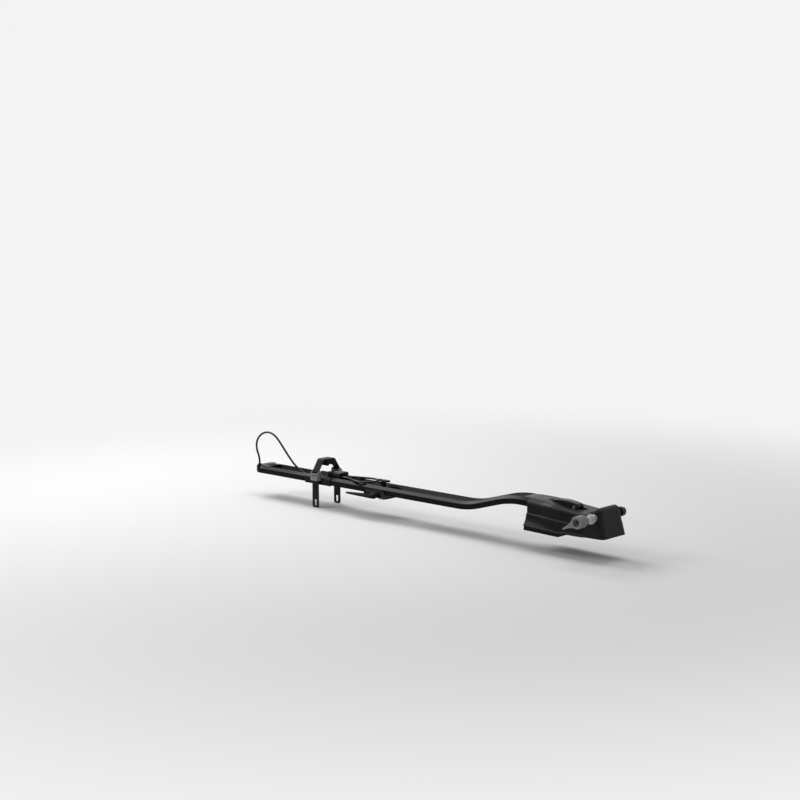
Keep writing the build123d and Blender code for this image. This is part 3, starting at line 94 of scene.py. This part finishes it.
# Softboxes: name, place, aim, width, depth and power
softboxes = (
    ("Overhead", (-0.6, 0.6, 3.0), (-0.5, 0.0, 0.0), 3.0, 1.6, 28),
    ("Behind", (-2.7, 0.5, 2.3), (-0.4, 0.0, 0.05), 1.5, 1.5, 45),
    ("Left", (-2.3, -1.8, 1.9), (-0.1, 0.0, 0.05), 1.6, 1.4, 33),
)

# Looks: noise scales in features to a metre, heights in metres
drift_scale = 22.0
drift_span = (0.3, 0.7)
gloss_drift = 0.12
edge_turn = (0.995, 0.9)
# patches along the edges where the painted edge highlight and the worn look are stronger
edge_patch_scale = 260.0
edge_patch_span = (0.35, 0.6)
edge_patch_least = 0.55
grain_height = 0.0002
moulding_height = 0.0004
strap_pitch = 0.0021
strap_depth = 0.35
fleck_scale = 650.0
fleck_span = (0.18, 0.34)

floor_reach = 20.0
fade_from = 0.8
fade_to = 2.4
floor_gap = 0.0005
floor_tone = (0.74, 0.74, 0.74)
paper_roughness = 0.9
paper_specular = 0.1
backdrop_tone = (0.90, 0.90, 0.90)
ambient_tone = (0.97, 0.98, 1.0)
ambient_level = 0.36


# Node trees; a colour Mix node has its two colours and its result at these places
mix_first, mix_second, mix_result = 6, 7, 2


def add_node(tree, kind, inputs=None, **settings):
    made = tree.nodes.new(kind)
    for name, value in settings.items():
        setattr(made, name, value)
    for name, value in (inputs or {}).items():
        made.inputs[name].default_value = value
    return made


def new_group(name, kind, inputs, outputs):
    """Empty group with its sockets, and the nodes that bring them in and out."""
    tree = bpy.data.node_groups.new(name, kind)
    for label, socket_type, value in inputs:
        socket = tree.interface.new_socket(label, in_out="INPUT", socket_type=socket_type)
        if value is not None:
            socket.default_value = value
    for label, socket_type in outputs:
        tree.interface.new_socket(label, in_out="OUTPUT", socket_type=socket_type)
    given = add_node(tree, "NodeGroupInput")
    result = add_node(tree, "NodeGroupOutput")
    return tree, given, result


def finish_group():
    """Moulded or extruded surface: fine grain, drifting tone, and rounded edges with a painted
    highlight that also stands for lightly worn edges.
    """
    tree, given, result = new_group("SurfaceFinish", "ShaderNodeTree", (
        ("Colour", "NodeSocketColor", (0.1, 0.1, 0.1, 1)),
        ("Highlight And Wear Colour", "NodeSocketColor", (0.3, 0.3, 0.3, 1)),
        ("Roughness", "NodeSocketFloat", 0.5),
        ("Grain Size", "NodeSocketFloat", 2500.0),
        ("Grain Depth", "NodeSocketFloat", 0.2),
        ("Grain Stretch", "NodeSocketVector", (1, 1, 1)),
        ("Tone Drift", "NodeSocketFloat", 0.15),
        ("Edge Radius", "NodeSocketFloat", 0.0004),
        ("Edge Wear", "NodeSocketFloat", 0.3),
    ), (
        ("Colour", "NodeSocketColor"),
        ("Roughness", "NodeSocketFloat"),
        ("Normal", "NodeSocketVector"),
    ))
    link = tree.links.new
    place = add_node(tree, "ShaderNodeTexCoord")

    # tone drifts over patches a few centimetres wide
    patches = add_node(
        tree, "ShaderNodeTexNoise", {"Scale": drift_scale, "Detail": 5.0, "Roughness": 0.65}
    )
    link(place.outputs["Object"], patches.inputs["Vector"])
    swing = add_node(
        tree, "ShaderNodeMapRange",
        {"From Min": drift_span[0], "From Max": drift_span[1], "To Min": -1.0, "To Max": 1.0},
    )
    link(patches.outputs["Fac"], swing.inputs["Value"])
    drift = add_node(tree, "ShaderNodeMath", {2: 1.0}, operation="MULTIPLY_ADD")
    link(swing.outputs["Result"], drift.inputs[0])
    link(given.outputs["Tone Drift"], drift.inputs[1])
    toned = add_node(tree, "ShaderNodeVectorMath", operation="SCALE")
    link(given.outputs["Colour"], toned.inputs[0])
    link(drift.outputs[0], toned.inputs["Scale"])

    # edges are rounded to catch the light and are painted lighter: a painted highlight that also
    # stands for lightly worn edges, stronger in patches
    soft = add_node(tree, "ShaderNodeBevel", samples=4)
    link(given.outputs["Edge Radius"], soft.inputs["Radius"])
    flat = add_node(tree, "ShaderNodeNewGeometry")
    turn = add_node(tree, "ShaderNodeVectorMath", operation="DOT_PRODUCT")
    link(soft.outputs["Normal"], turn.inputs[0])
    link(flat.outputs["Normal"], turn.inputs[1])
    on_edge = add_node(
        tree, "ShaderNodeMapRange", {"From Min": edge_turn[0], "From Max": edge_turn[1]}
    )
    link(turn.outputs["Value"], on_edge.inputs["Value"])
    edge_patches = add_node(tree, "ShaderNodeTexNoise", {"Scale": edge_patch_scale, "Detail": 3.0})
    link(place.outputs["Object"], edge_patches.inputs["Vector"])
    edge_patch_strength = add_node(
        tree, "ShaderNodeMapRange",
        {"From Min": edge_patch_span[0], "From Max": edge_patch_span[1], "To Min": edge_patch_least},
    )
    link(edge_patches.outputs["Fac"], edge_patch_strength.inputs["Value"])
    highlight_and_wear_edge = add_node(tree, "ShaderNodeMath", operation="MULTIPLY")
    link(on_edge.outputs["Result"], highlight_and_wear_edge.inputs[0])
    link(edge_patch_strength.outputs["Result"], highlight_and_wear_edge.inputs[1])
    wear = add_node(tree, "ShaderNodeMath", operation="MULTIPLY")
    link(highlight_and_wear_edge.outputs[0], wear.inputs[0])
    link(given.outputs["Edge Wear"], wear.inputs[1])
    colour = add_node(tree, "ShaderNodeMix", data_type="RGBA")
    link(wear.outputs[0], colour.inputs["Factor"])
    link(toned.outputs[0], colour.inputs[mix_first])
    link(given.outputs["Highlight And Wear Colour"], colour.inputs[mix_second])
    link(colour.outputs[mix_result], result.inputs["Colour"])

    # gloss follows the drift a little
    gloss = add_node(tree, "ShaderNodeMath", {1: gloss_drift, 2: 1.0}, operation="MULTIPLY_ADD")
    link(swing.outputs["Result"], gloss.inputs[0])
    rough = add_node(tree, "ShaderNodeMath", operation="MULTIPLY")
    link(gloss.outputs[0], rough.inputs[0])
    link(given.outputs["Roughness"], rough.inputs[1])
    link(rough.outputs[0], result.inputs["Roughness"])

    # grain, drawn out along the piece where it is extruded or brushed
    drawn = add_node(tree, "ShaderNodeVectorMath", operation="MULTIPLY")
    link(place.outputs["Object"], drawn.inputs[0])
    link(given.outputs["Grain Stretch"], drawn.inputs[1])
    grain = add_node(tree, "ShaderNodeTexNoise", {"Detail": 4.0, "Roughness": 0.6})
    link(drawn.outputs[0], grain.inputs["Vector"])
    link(given.outputs["Grain Size"], grain.inputs["Scale"])
    bump = add_node(tree, "ShaderNodeBump", {"Distance": grain_height})
    link(given.outputs["Grain Depth"], bump.inputs["Strength"])
    link(grain.outputs["Fac"], bump.inputs["Height"])
    link(soft.outputs["Normal"], bump.inputs["Normal"])
    link(bump.outputs["Normal"], result.inputs["Normal"])
    return tree


def speckle_group():
    """Two tones of plastic, the darker one in small flecks."""
    tree, given, result = new_group("PlasticFlecks", "ShaderNodeTree", (
        ("Colour", "NodeSocketColor", (0.2, 0.2, 0.2, 1)),
        ("Fleck Colour", "NodeSocketColor", (0.05, 0.05, 0.05, 1)),
        ("Fleck Size", "NodeSocketFloat", 900.0),
    ), (("Colour", "NodeSocketColor"),))
    link = tree.links.new
    place = add_node(tree, "ShaderNodeTexCoord")
    cells = add_node(tree, "ShaderNodeTexVoronoi")
    link(place.outputs["Object"], cells.inputs["Vector"])
    link(given.outputs["Fleck Size"], cells.inputs["Scale"])
    fleck = add_node(
        tree, "ShaderNodeMapRange",
        {"From Min": fleck_span[0], "From Max": fleck_span[1], "To Min": 1.0, "To Max": 0.0},
    )
    link(cells.outputs["Distance"], fleck.inputs["Value"])
    colour = add_node(tree, "ShaderNodeMix", data_type="RGBA")
    link(fleck.outputs["Result"], colour.inputs["Factor"])
    link(given.outputs["Colour"], colour.inputs[mix_first])
    link(given.outputs["Fleck Colour"], colour.inputs[mix_second])
    link(colour.outputs[mix_result], result.inputs["Colour"])
    return tree


def ribbing_group():
    """Normals of fine moulded lines across one direction."""
    tree, given, result = new_group("MouldedRibbing", "ShaderNodeTree", (
        ("Direction", "NodeSocketVector", (1, 0, 0)),
        ("Lines", "NodeSocketFloat", 400.0),
        ("Depth", "NodeSocketFloat", 0.5),
        ("Normal", "NodeSocketVector", (0, 0, 1)),
    ), (("Normal", "NodeSocketVector"),))
    link = tree.links.new
    place = add_node(tree, "ShaderNodeTexCoord")
    along = add_node(tree, "ShaderNodeVectorMath", operation="DOT_PRODUCT")
    link(place.outputs["Object"], along.inputs[0])
    link(given.outputs["Direction"], along.inputs[1])
    turned = add_node(tree, "ShaderNodeMath", operation="MULTIPLY")
    link(along.outputs["Value"], turned.inputs[0])
    link(given.outputs["Lines"], turned.inputs[1])
    wave = add_node(tree, "ShaderNodeMath", operation="SINE")
    link(turned.outputs[0], wave.inputs[0])
    bump = add_node(tree, "ShaderNodeBump", {"Distance": moulding_height})
    link(given.outputs["Depth"], bump.inputs["Strength"])
    link(wave.outputs[0], bump.inputs["Height"])
    link(given.outputs["Normal"], bump.inputs["Normal"])
    link(bump.outputs["Normal"], result.inputs["Normal"])
    return tree


finish = finish_group()
flecks = speckle_group()
ribbing = ribbing_group()


# Materials
def surface(name, colour, highlight_and_wear_edge, roughness, metallic=0.0, specular=0.3, **values):
    """Material with the shared finish; the values name inputs of the finish group."""
    made = bpy.data.materials.new(name)
    made.use_nodes = True
    tree = made.node_tree
    shader = tree.nodes["Principled BSDF"]
    shader.inputs["Metallic"].default_value = metallic
    shader.inputs["Specular IOR Level"].default_value = specular
    look = add_node(tree, "ShaderNodeGroup", node_tree=finish, name="Finish")
    look.inputs["Colour"].default_value = (*colour, 1)
    look.inputs["Highlight And Wear Colour"].default_value = (*highlight_and_wear_edge, 1)
    look.inputs["Roughness"].default_value = roughness
    for key, value in values.items():
        look.inputs[key.replace("_", " ").title()].default_value = value
    tree.links.new(look.outputs["Colour"], shader.inputs["Base Color"])
    tree.links.new(look.outputs["Roughness"], shader.inputs["Roughness"])
    tree.links.new(look.outputs["Normal"], shader.inputs["Normal"])
    return made


def add_flecks(material, colour, fleck_colour, size):
    tree = material.node_tree
    group = add_node(tree, "ShaderNodeGroup", node_tree=flecks)
    group.inputs["Colour"].default_value = (*colour, 1)
    group.inputs["Fleck Colour"].default_value = (*fleck_colour, 1)
    group.inputs["Fleck Size"].default_value = size
    tree.links.new(group.outputs["Colour"], tree.nodes["Finish"].inputs["Colour"])


def add_ribbing(material, direction, pitch, depth):
    tree = material.node_tree
    group = add_node(tree, "ShaderNodeGroup", node_tree=ribbing)
    group.inputs["Direction"].default_value = direction
    group.inputs["Lines"].default_value = 2 * math.pi / pitch
    group.inputs["Depth"].default_value = depth
    tree.links.new(tree.nodes["Finish"].outputs["Normal"], group.inputs["Normal"])
    tree.links.new(group.outputs["Normal"], tree.nodes["Principled BSDF"].inputs["Normal"])


# the second colour of each material is painted on its edges: a painted highlight that also stands for
# lightly worn edges
tray_aluminium = surface(
    "TrayAluminium", (0.004, 0.0041, 0.0045), (0.14, 0.14, 0.145), 0.24, specular=0.06,
    grain_size=900.0, grain_stretch=(0.01, 1, 1), grain_depth=0.16, edge_wear=0.35,
    edge_radius=0.0010, tone_drift=0.12,
)
base_plastic = surface(
    "BasePlastic", (0.0045, 0.0046, 0.005), (0.12, 0.12, 0.124), 0.30, specular=0.10,
    grain_depth=0.22, edge_wear=0.7, edge_radius=0.0024,
)
head_plastic = surface(
    "HeadPlastic", (0.0085, 0.0086, 0.0092), (0.07, 0.07, 0.073), 0.42, specular=0.12,
    grain_size=2200.0, grain_depth=0.40, edge_wear=0.35, edge_radius=0.0020,
)
pad_rubber = surface(
    "PadRubber", (0.004, 0.004, 0.0042), (0.03, 0.03, 0.03), 0.70, specular=0.1,
    grain_depth=0.3, edge_wear=0.2,
)
strap_rubber = surface(
    "StrapRubber", (0.006, 0.006, 0.0064), (0.05, 0.05, 0.05), 0.36, specular=0.09,
    grain_depth=0.15, edge_wear=0.2,
)
add_ribbing(strap_rubber, (1, 0, 0), strap_pitch, strap_depth)
buckle_plastic = surface(
    "BucklePlastic", (0.165, 0.167, 0.172), (0.32, 0.32, 0.33), 0.45, specular=0.3,
    grain_depth=0.3, edge_wear=0.35,
)
knob_plastic = surface(
    "KnobPlastic", (0.18, 0.182, 0.188), (0.30, 0.30, 0.31), 0.50, specular=0.3,
    grain_depth=0.4, edge_wear=0.3, edge_radius=0.0008,
)
add_flecks(knob_plastic, (0.19, 0.192, 0.198), (0.075, 0.076, 0.08), fleck_scale)
collar_plastic = surface(
    "CollarPlastic", (0.46, 0.463, 0.47), (0.55, 0.55, 0.55), 0.42, specular=0.35,
    grain_depth=0.2,
)
cable_jacket = surface(
    "CableJacket", (0.005, 0.005, 0.0054), (0.04, 0.04, 0.04), 0.30, specular=0.25,
    grain_depth=0.06, edge_wear=0.0,
)
blackened_steel = surface(
    "BlackenedSteel", (0.005, 0.0052, 0.0056), (0.16, 0.16, 0.165), 0.30, specular=0.25,
    grain_depth=0.2, edge_wear=0.5,
)
plated_steel = surface(
    "PlatedSteel", (0.42, 0.425, 0.43), (0.6, 0.6, 0.6), 0.34, metallic=1.0, specular=0.5,
    grain_depth=0.1,
)
socket_shade = surface(
    "SocketShade", (0.004, 0.004, 0.004), (0.01, 0.01, 0.01), 0.8, specular=0.1, edge_wear=0.0,
)

slot_looks = {
    "satin_black_aluminium": tray_aluminium,
    "black_plastic": base_plastic,
    "head_plastic": head_plastic,
    "black_rubber": pad_rubber,
    "strap_rubber": strap_rubber,
    "grey_plastic": buckle_plastic,
    "knob_plastic": knob_plastic,
    "light_plastic": collar_plastic,
    "cable_jacket": cable_jacket,
    "black_steel": blackened_steel,
    "bright_steel": plated_steel,
}
node_slot = {part["node"]: part["material_slot"] for part in frame["record"]["subparts"]}
for name, slot in node_slot.items():
    mesh = nodes[name].data
    mesh.materials.clear()
    mesh.materials.append(slot_looks[slot])
    for face in mesh.polygons:
        face.material_index = 0


# Repeated pieces
def spread_group(name, inputs, facets, length_input):
    """A prism at every point; its radius, length and material are inputs."""
    tree, given, result = new_group(name, "GeometryNodeTree", (
        ("Geometry", "NodeSocketGeometry", None),
        *inputs,
        ("Look", "NodeSocketMaterial", None),
    ), (("Geometry", "NodeSocketGeometry"),))
    link = tree.links.new
    prism = add_node(tree, "GeometryNodeMeshCylinder", {"Vertices": facets})
    link(given.outputs["Radius"], prism.inputs["Radius"])
    link(given.outputs[length_input], prism.inputs["Depth"])
    spread = add_node(tree, "GeometryNodeInstanceOnPoints")
    link(given.outputs["Geometry"], spread.inputs["Points"])
    link(prism.outputs["Mesh"], spread.inputs["Instance"])
    if "Turn" in given.outputs:
        link(given.outputs["Turn"], spread.inputs["Rotation"])
    real = add_node(tree, "GeometryNodeRealizeInstances")
    link(spread.outputs["Instances"], real.inputs["Geometry"])
    paint = add_node(tree, "GeometryNodeSetMaterial")
    link(real.outputs["Geometry"], paint.inputs["Geometry"])
    link(given.outputs["Look"], paint.inputs["Material"])
    link(paint.outputs["Geometry"], result.inputs["Geometry"])
    return tree


def grown(name, tree, places, body, slot, **values):
    """Mesh that the tree makes on the given places, riding on one body."""
    seeds = bpy.data.meshes.new(name + "_places")
    seeds.from_pydata([tuple(place) for place in places], [], [])
    seed_object = bpy.data.objects.new(name + "_places", seeds)
    scene.collection.objects.link(seed_object)
    modifier = seed_object.modifiers.new("Tree", "NODES")
    modifier.node_group = tree
    named = [item for item in tree.interface.items_tree if item.in_out == "INPUT"]
    sockets = {item.name: item.identifier for item in named}
    for key, value in values.items():
        modifier[sockets[key.title()]] = value
    seed_object.update_tag()
    graph = bpy.context.evaluated_depsgraph_get()
    mesh = bpy.data.meshes.new_from_object(seed_object.evaluated_get(graph))
    mesh.name = name
    bpy.data.objects.remove(seed_object)
    made = bpy.data.objects.new(name, mesh)
    scene.collection.objects.link(made)
    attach(made, body)
    return made


def placed_vertices(name):
    return [nodes[name].matrix_world @ vertex.co for vertex in nodes[name].data.vertices]


def point_on(name, start, direction):
    """Where a line from the start meets the piece first."""
    faces = [face.vertices[:] for face in nodes[name].data.polygons]
    skin = BVHTree.FromPolygons(placed_vertices(name), faces)
    return skin.ray_cast(Vector(start), Vector(direction))[0]


# thin dark hexagons on the heads of the screws: painted shade where their sockets are
screw_socket_shade = spread_group("HexSocketShade", (
    ("Radius", "NodeSocketFloat", hex_radius),
    ("Depth", "NodeSocketFloat", hex_depth),
), hex_sides, "Depth")

# rows of low rounded ribs for fingers
grip_ribs = spread_group("GripRibs", (
    ("Length", "NodeSocketFloat", rib_length),
    ("Radius", "NodeSocketFloat", rib_radius),
    ("Turn", "NodeSocketVector", (0, 0, 0)),
), rib_facets, "Length")

screws = [f"foot_screw_{number}" for number in (1, 2, 3, 4)]
screws += ["head_screw_near", "head_screw_far", "cap_screw_near", "cap_screw_far"]
under_heads = []
for name in screws:
    corners = placed_vertices(name)
    low = [min(corner[axis] for corner in corners) for axis in range(3)]
    high = [max(corner[axis] for corner in corners) for axis in range(3)]
    under_heads.append(((low[0] + high[0]) / 2, (low[1] + high[1]) / 2, low[2]))
# the dark hexagons are painted shade for the screw sockets
grown("screw_socket_shade", screw_socket_shade, under_heads, "carrier", node_slot[screws[0]], look=socket_shade)

for body, across, rows in rib_rows:
    tops = []
    for first, side, step, count in rows:
        for number in range(count):
            top = point_on(body, (first + number * step, side, ray_height), (0, 0, -1))
            tops.append(top - Vector((0, 0, rib_sink)))
    slot = node_slot[body]
    grown(
        body + "_ribs", grip_ribs, tops, body, slot, length=across, radius=rib_radius,
        turn=(quarter_turn, 0, 0), look=slot_looks[slot],
    )


# Cords
def cord_curve(name, points, radius, look):
    curve = bpy.data.curves.new(name, "CURVE")
    curve.dimensions = "3D"
    curve.bevel_depth = radius
    curve.bevel_resolution = cord_roundness
    curve.resolution_u = cord_steps
    curve.use_fill_caps = True
    spline = curve.splines.new("NURBS")
    spline.points.add(len(points) - 1)
    for point, place in zip(spline.points, points):
        point.co = (*place, 1)
    spline.order_u = cord_order
    spline.use_endpoint_u = True
    curve.materials.append(look)
    made = bpy.data.objects.new(name, curve)
    scene.collection.objects.link(made)
    return made


cable_route = (
    (-1.186, -0.024, 0.037),
    (-1.186, -0.024, 0.056),
    (-1.1985, -0.0235, 0.076),
    (-1.202, -0.0225, 0.101),
    (-1.188, -0.020, 0.1245),
    (-1.162, -0.017, 0.137),
    (-1.132, -0.0135, 0.132),
    (-1.108, -0.010, 0.108),
    (-1.079, -0.006, 0.072),
    (-1.050, -0.0025, 0.042),
    (-1.014, 0.001, 0.0225),
    (-0.972, 0.0025, 0.0176),
    (-0.935, 0.001, 0.020),
    (-0.911, 0.0, 0.0305),
    (-0.896, 0.0, 0.031),
)
noose_route = (
    (-0.848, -0.010, 0.0363),
    (-0.827, -0.010, 0.0363),
    (-0.801, -0.0195, 0.0363),
    (-0.773, -0.0305, 0.0363),
    (-0.745, -0.0325, 0.0363),
    (-0.7255, -0.014, 0.0363),
    (-0.724, 0.0135, 0.0363),
    (-0.743, 0.033, 0.0363),
    (-0.771, 0.0315, 0.0363),
    (-0.800, 0.0205, 0.0363),
    (-0.8265, 0.010, 0.0363),
    (-0.848, 0.010, 0.0363),
)
for name, route, length, followers in (
    ("security_cable", cable_route, cable_length, ["lock_case", "cable_lock"]),
    ("cable_noose", noose_route, noose_length, []),
):
    piece = cord_curve(name + "_jacket", route, cable_radius, cable_jacket)
    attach(piece, "carrier")
    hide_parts(name)


# Pale floor that keeps the object's shadow and fades into the backdrop
def seen_directly(tree):
    """One for what the camera or a glossy surface sees, zero for light that lands on the object."""
    path = add_node(tree, "ShaderNodeLightPath")
    first = add_node(tree, "ShaderNodeMath", operation="ADD")
    tree.links.new(path.outputs["Is Camera Ray"], first.inputs[0])
    tree.links.new(path.outputs["Is Glossy Ray"], first.inputs[1])
    second = add_node(tree, "ShaderNodeMath", operation="ADD", use_clamp=True)
    tree.links.new(first.outputs[0], second.inputs[0])
    tree.links.new(path.outputs["Is Transmission Ray"], second.inputs[1])
    return second.outputs[0]


def studio_floor():
    level = start_bounds[0][2] - floor_gap
    centre = (start_bounds[0][0] + start_bounds[1][0]) / 2
    corners = [
        (centre + along * floor_reach, across * floor_reach, level)
        for along, across in ((-1, -1), (1, -1), (1, 1), (-1, 1))
    ]
    mesh = bpy.data.meshes.new("StudioFloor")
    mesh.from_pydata(corners, [], [(0, 1, 2, 3)])
    floor = bpy.data.objects.new("StudioFloor", mesh)
    scene.collection.objects.link(floor)
    paper = bpy.data.materials.new("StudioPaper")
    paper.use_nodes = True
    tree = paper.node_tree
    link = tree.links.new
    shader = tree.nodes["Principled BSDF"]
    shader.inputs["Base Color"].default_value = (*floor_tone, 1)
    shader.inputs["Roughness"].default_value = paper_roughness
    shader.inputs["Specular IOR Level"].default_value = paper_specular
    glow = add_node(tree, "ShaderNodeEmission", {"Color": (*backdrop_tone, 1), "Strength": 1.0})
    place = add_node(tree, "ShaderNodeTexCoord")
    away = add_node(tree, "ShaderNodeVectorMath", {1: (centre, 0.0, level)}, operation="DISTANCE")
    link(place.outputs["Object"], away.inputs[0])
    fade = add_node(
        tree, "ShaderNodeMapRange", {"From Min": fade_from, "From Max": fade_to},
        interpolation_type="SMOOTHSTEP",
    )
    link(away.outputs["Value"], fade.inputs["Value"])
    share = add_node(tree, "ShaderNodeMath", operation="MULTIPLY")
    link(fade.outputs["Result"], share.inputs[0])
    link(seen_directly(tree), share.inputs[1])
    mix = add_node(tree, "ShaderNodeMixShader")
    link(share.outputs[0], mix.inputs["Fac"])
    link(shader.outputs["BSDF"], mix.inputs[1])
    link(glow.outputs["Emission"], mix.inputs[2])
    link(mix.outputs["Shader"], tree.nodes["Material Output"].inputs["Surface"])
    mesh.materials.append(paper)


def studio_world():
    world = bpy.data.worlds.new("Studio")
    scene.world = world
    world.use_nodes = True
    tree = world.node_tree
    link = tree.links.new
    ambient = tree.nodes["Background"]
    ambient.inputs["Color"].default_value = (*ambient_tone, 1)
    ambient.inputs["Strength"].default_value = ambient_level
    backdrop = add_node(
        tree, "ShaderNodeBackground", {"Color": (*backdrop_tone, 1), "Strength": 1.0}
    )
    mix = add_node(tree, "ShaderNodeMixShader")
    link(seen_directly(tree), mix.inputs["Fac"])
    link(ambient.outputs["Background"], mix.inputs[1])
    link(backdrop.outputs["Background"], mix.inputs[2])
    link(mix.outputs["Shader"], tree.nodes["World Output"].inputs["Surface"])


studio_floor()
studio_world()


def softbox(name, place, aim, width, depth, power):
    light = bpy.data.lights.new(name, "AREA")
    light.shape = "RECTANGLE"
    light.size = width
    light.size_y = depth
    light.energy = power
    lamp = bpy.data.objects.new(name, light)
    scene.collection.objects.link(lamp)
    lamp.location = place
    lamp.rotation_euler = (Vector(aim) - Vector(place)).to_track_quat("-Z", "Y").to_euler()


for softbox_values in softboxes:
    softbox(*softbox_values)

# Camera at the photograph's viewing angle
camera_data = bpy.data.cameras.new("Camera")
camera_data.lens = camera_lens
camera_data.sensor_width = sensor_width
camera_data.clip_end = camera_reach
camera = bpy.data.objects.new("Camera", camera_data)
scene.collection.objects.link(camera)
camera.location = camera_place
camera.rotation_euler = (
    Matrix.Rotation(math.radians(camera_azimuth), 4, "Z")
    @ Matrix.Rotation(math.radians(90.0 - camera_elevation), 4, "X")
    @ Matrix.Rotation(math.radians(camera_roll), 4, "Z")
).to_euler()
scene.camera = camera
scene.view_settings.view_transform = "Standard"
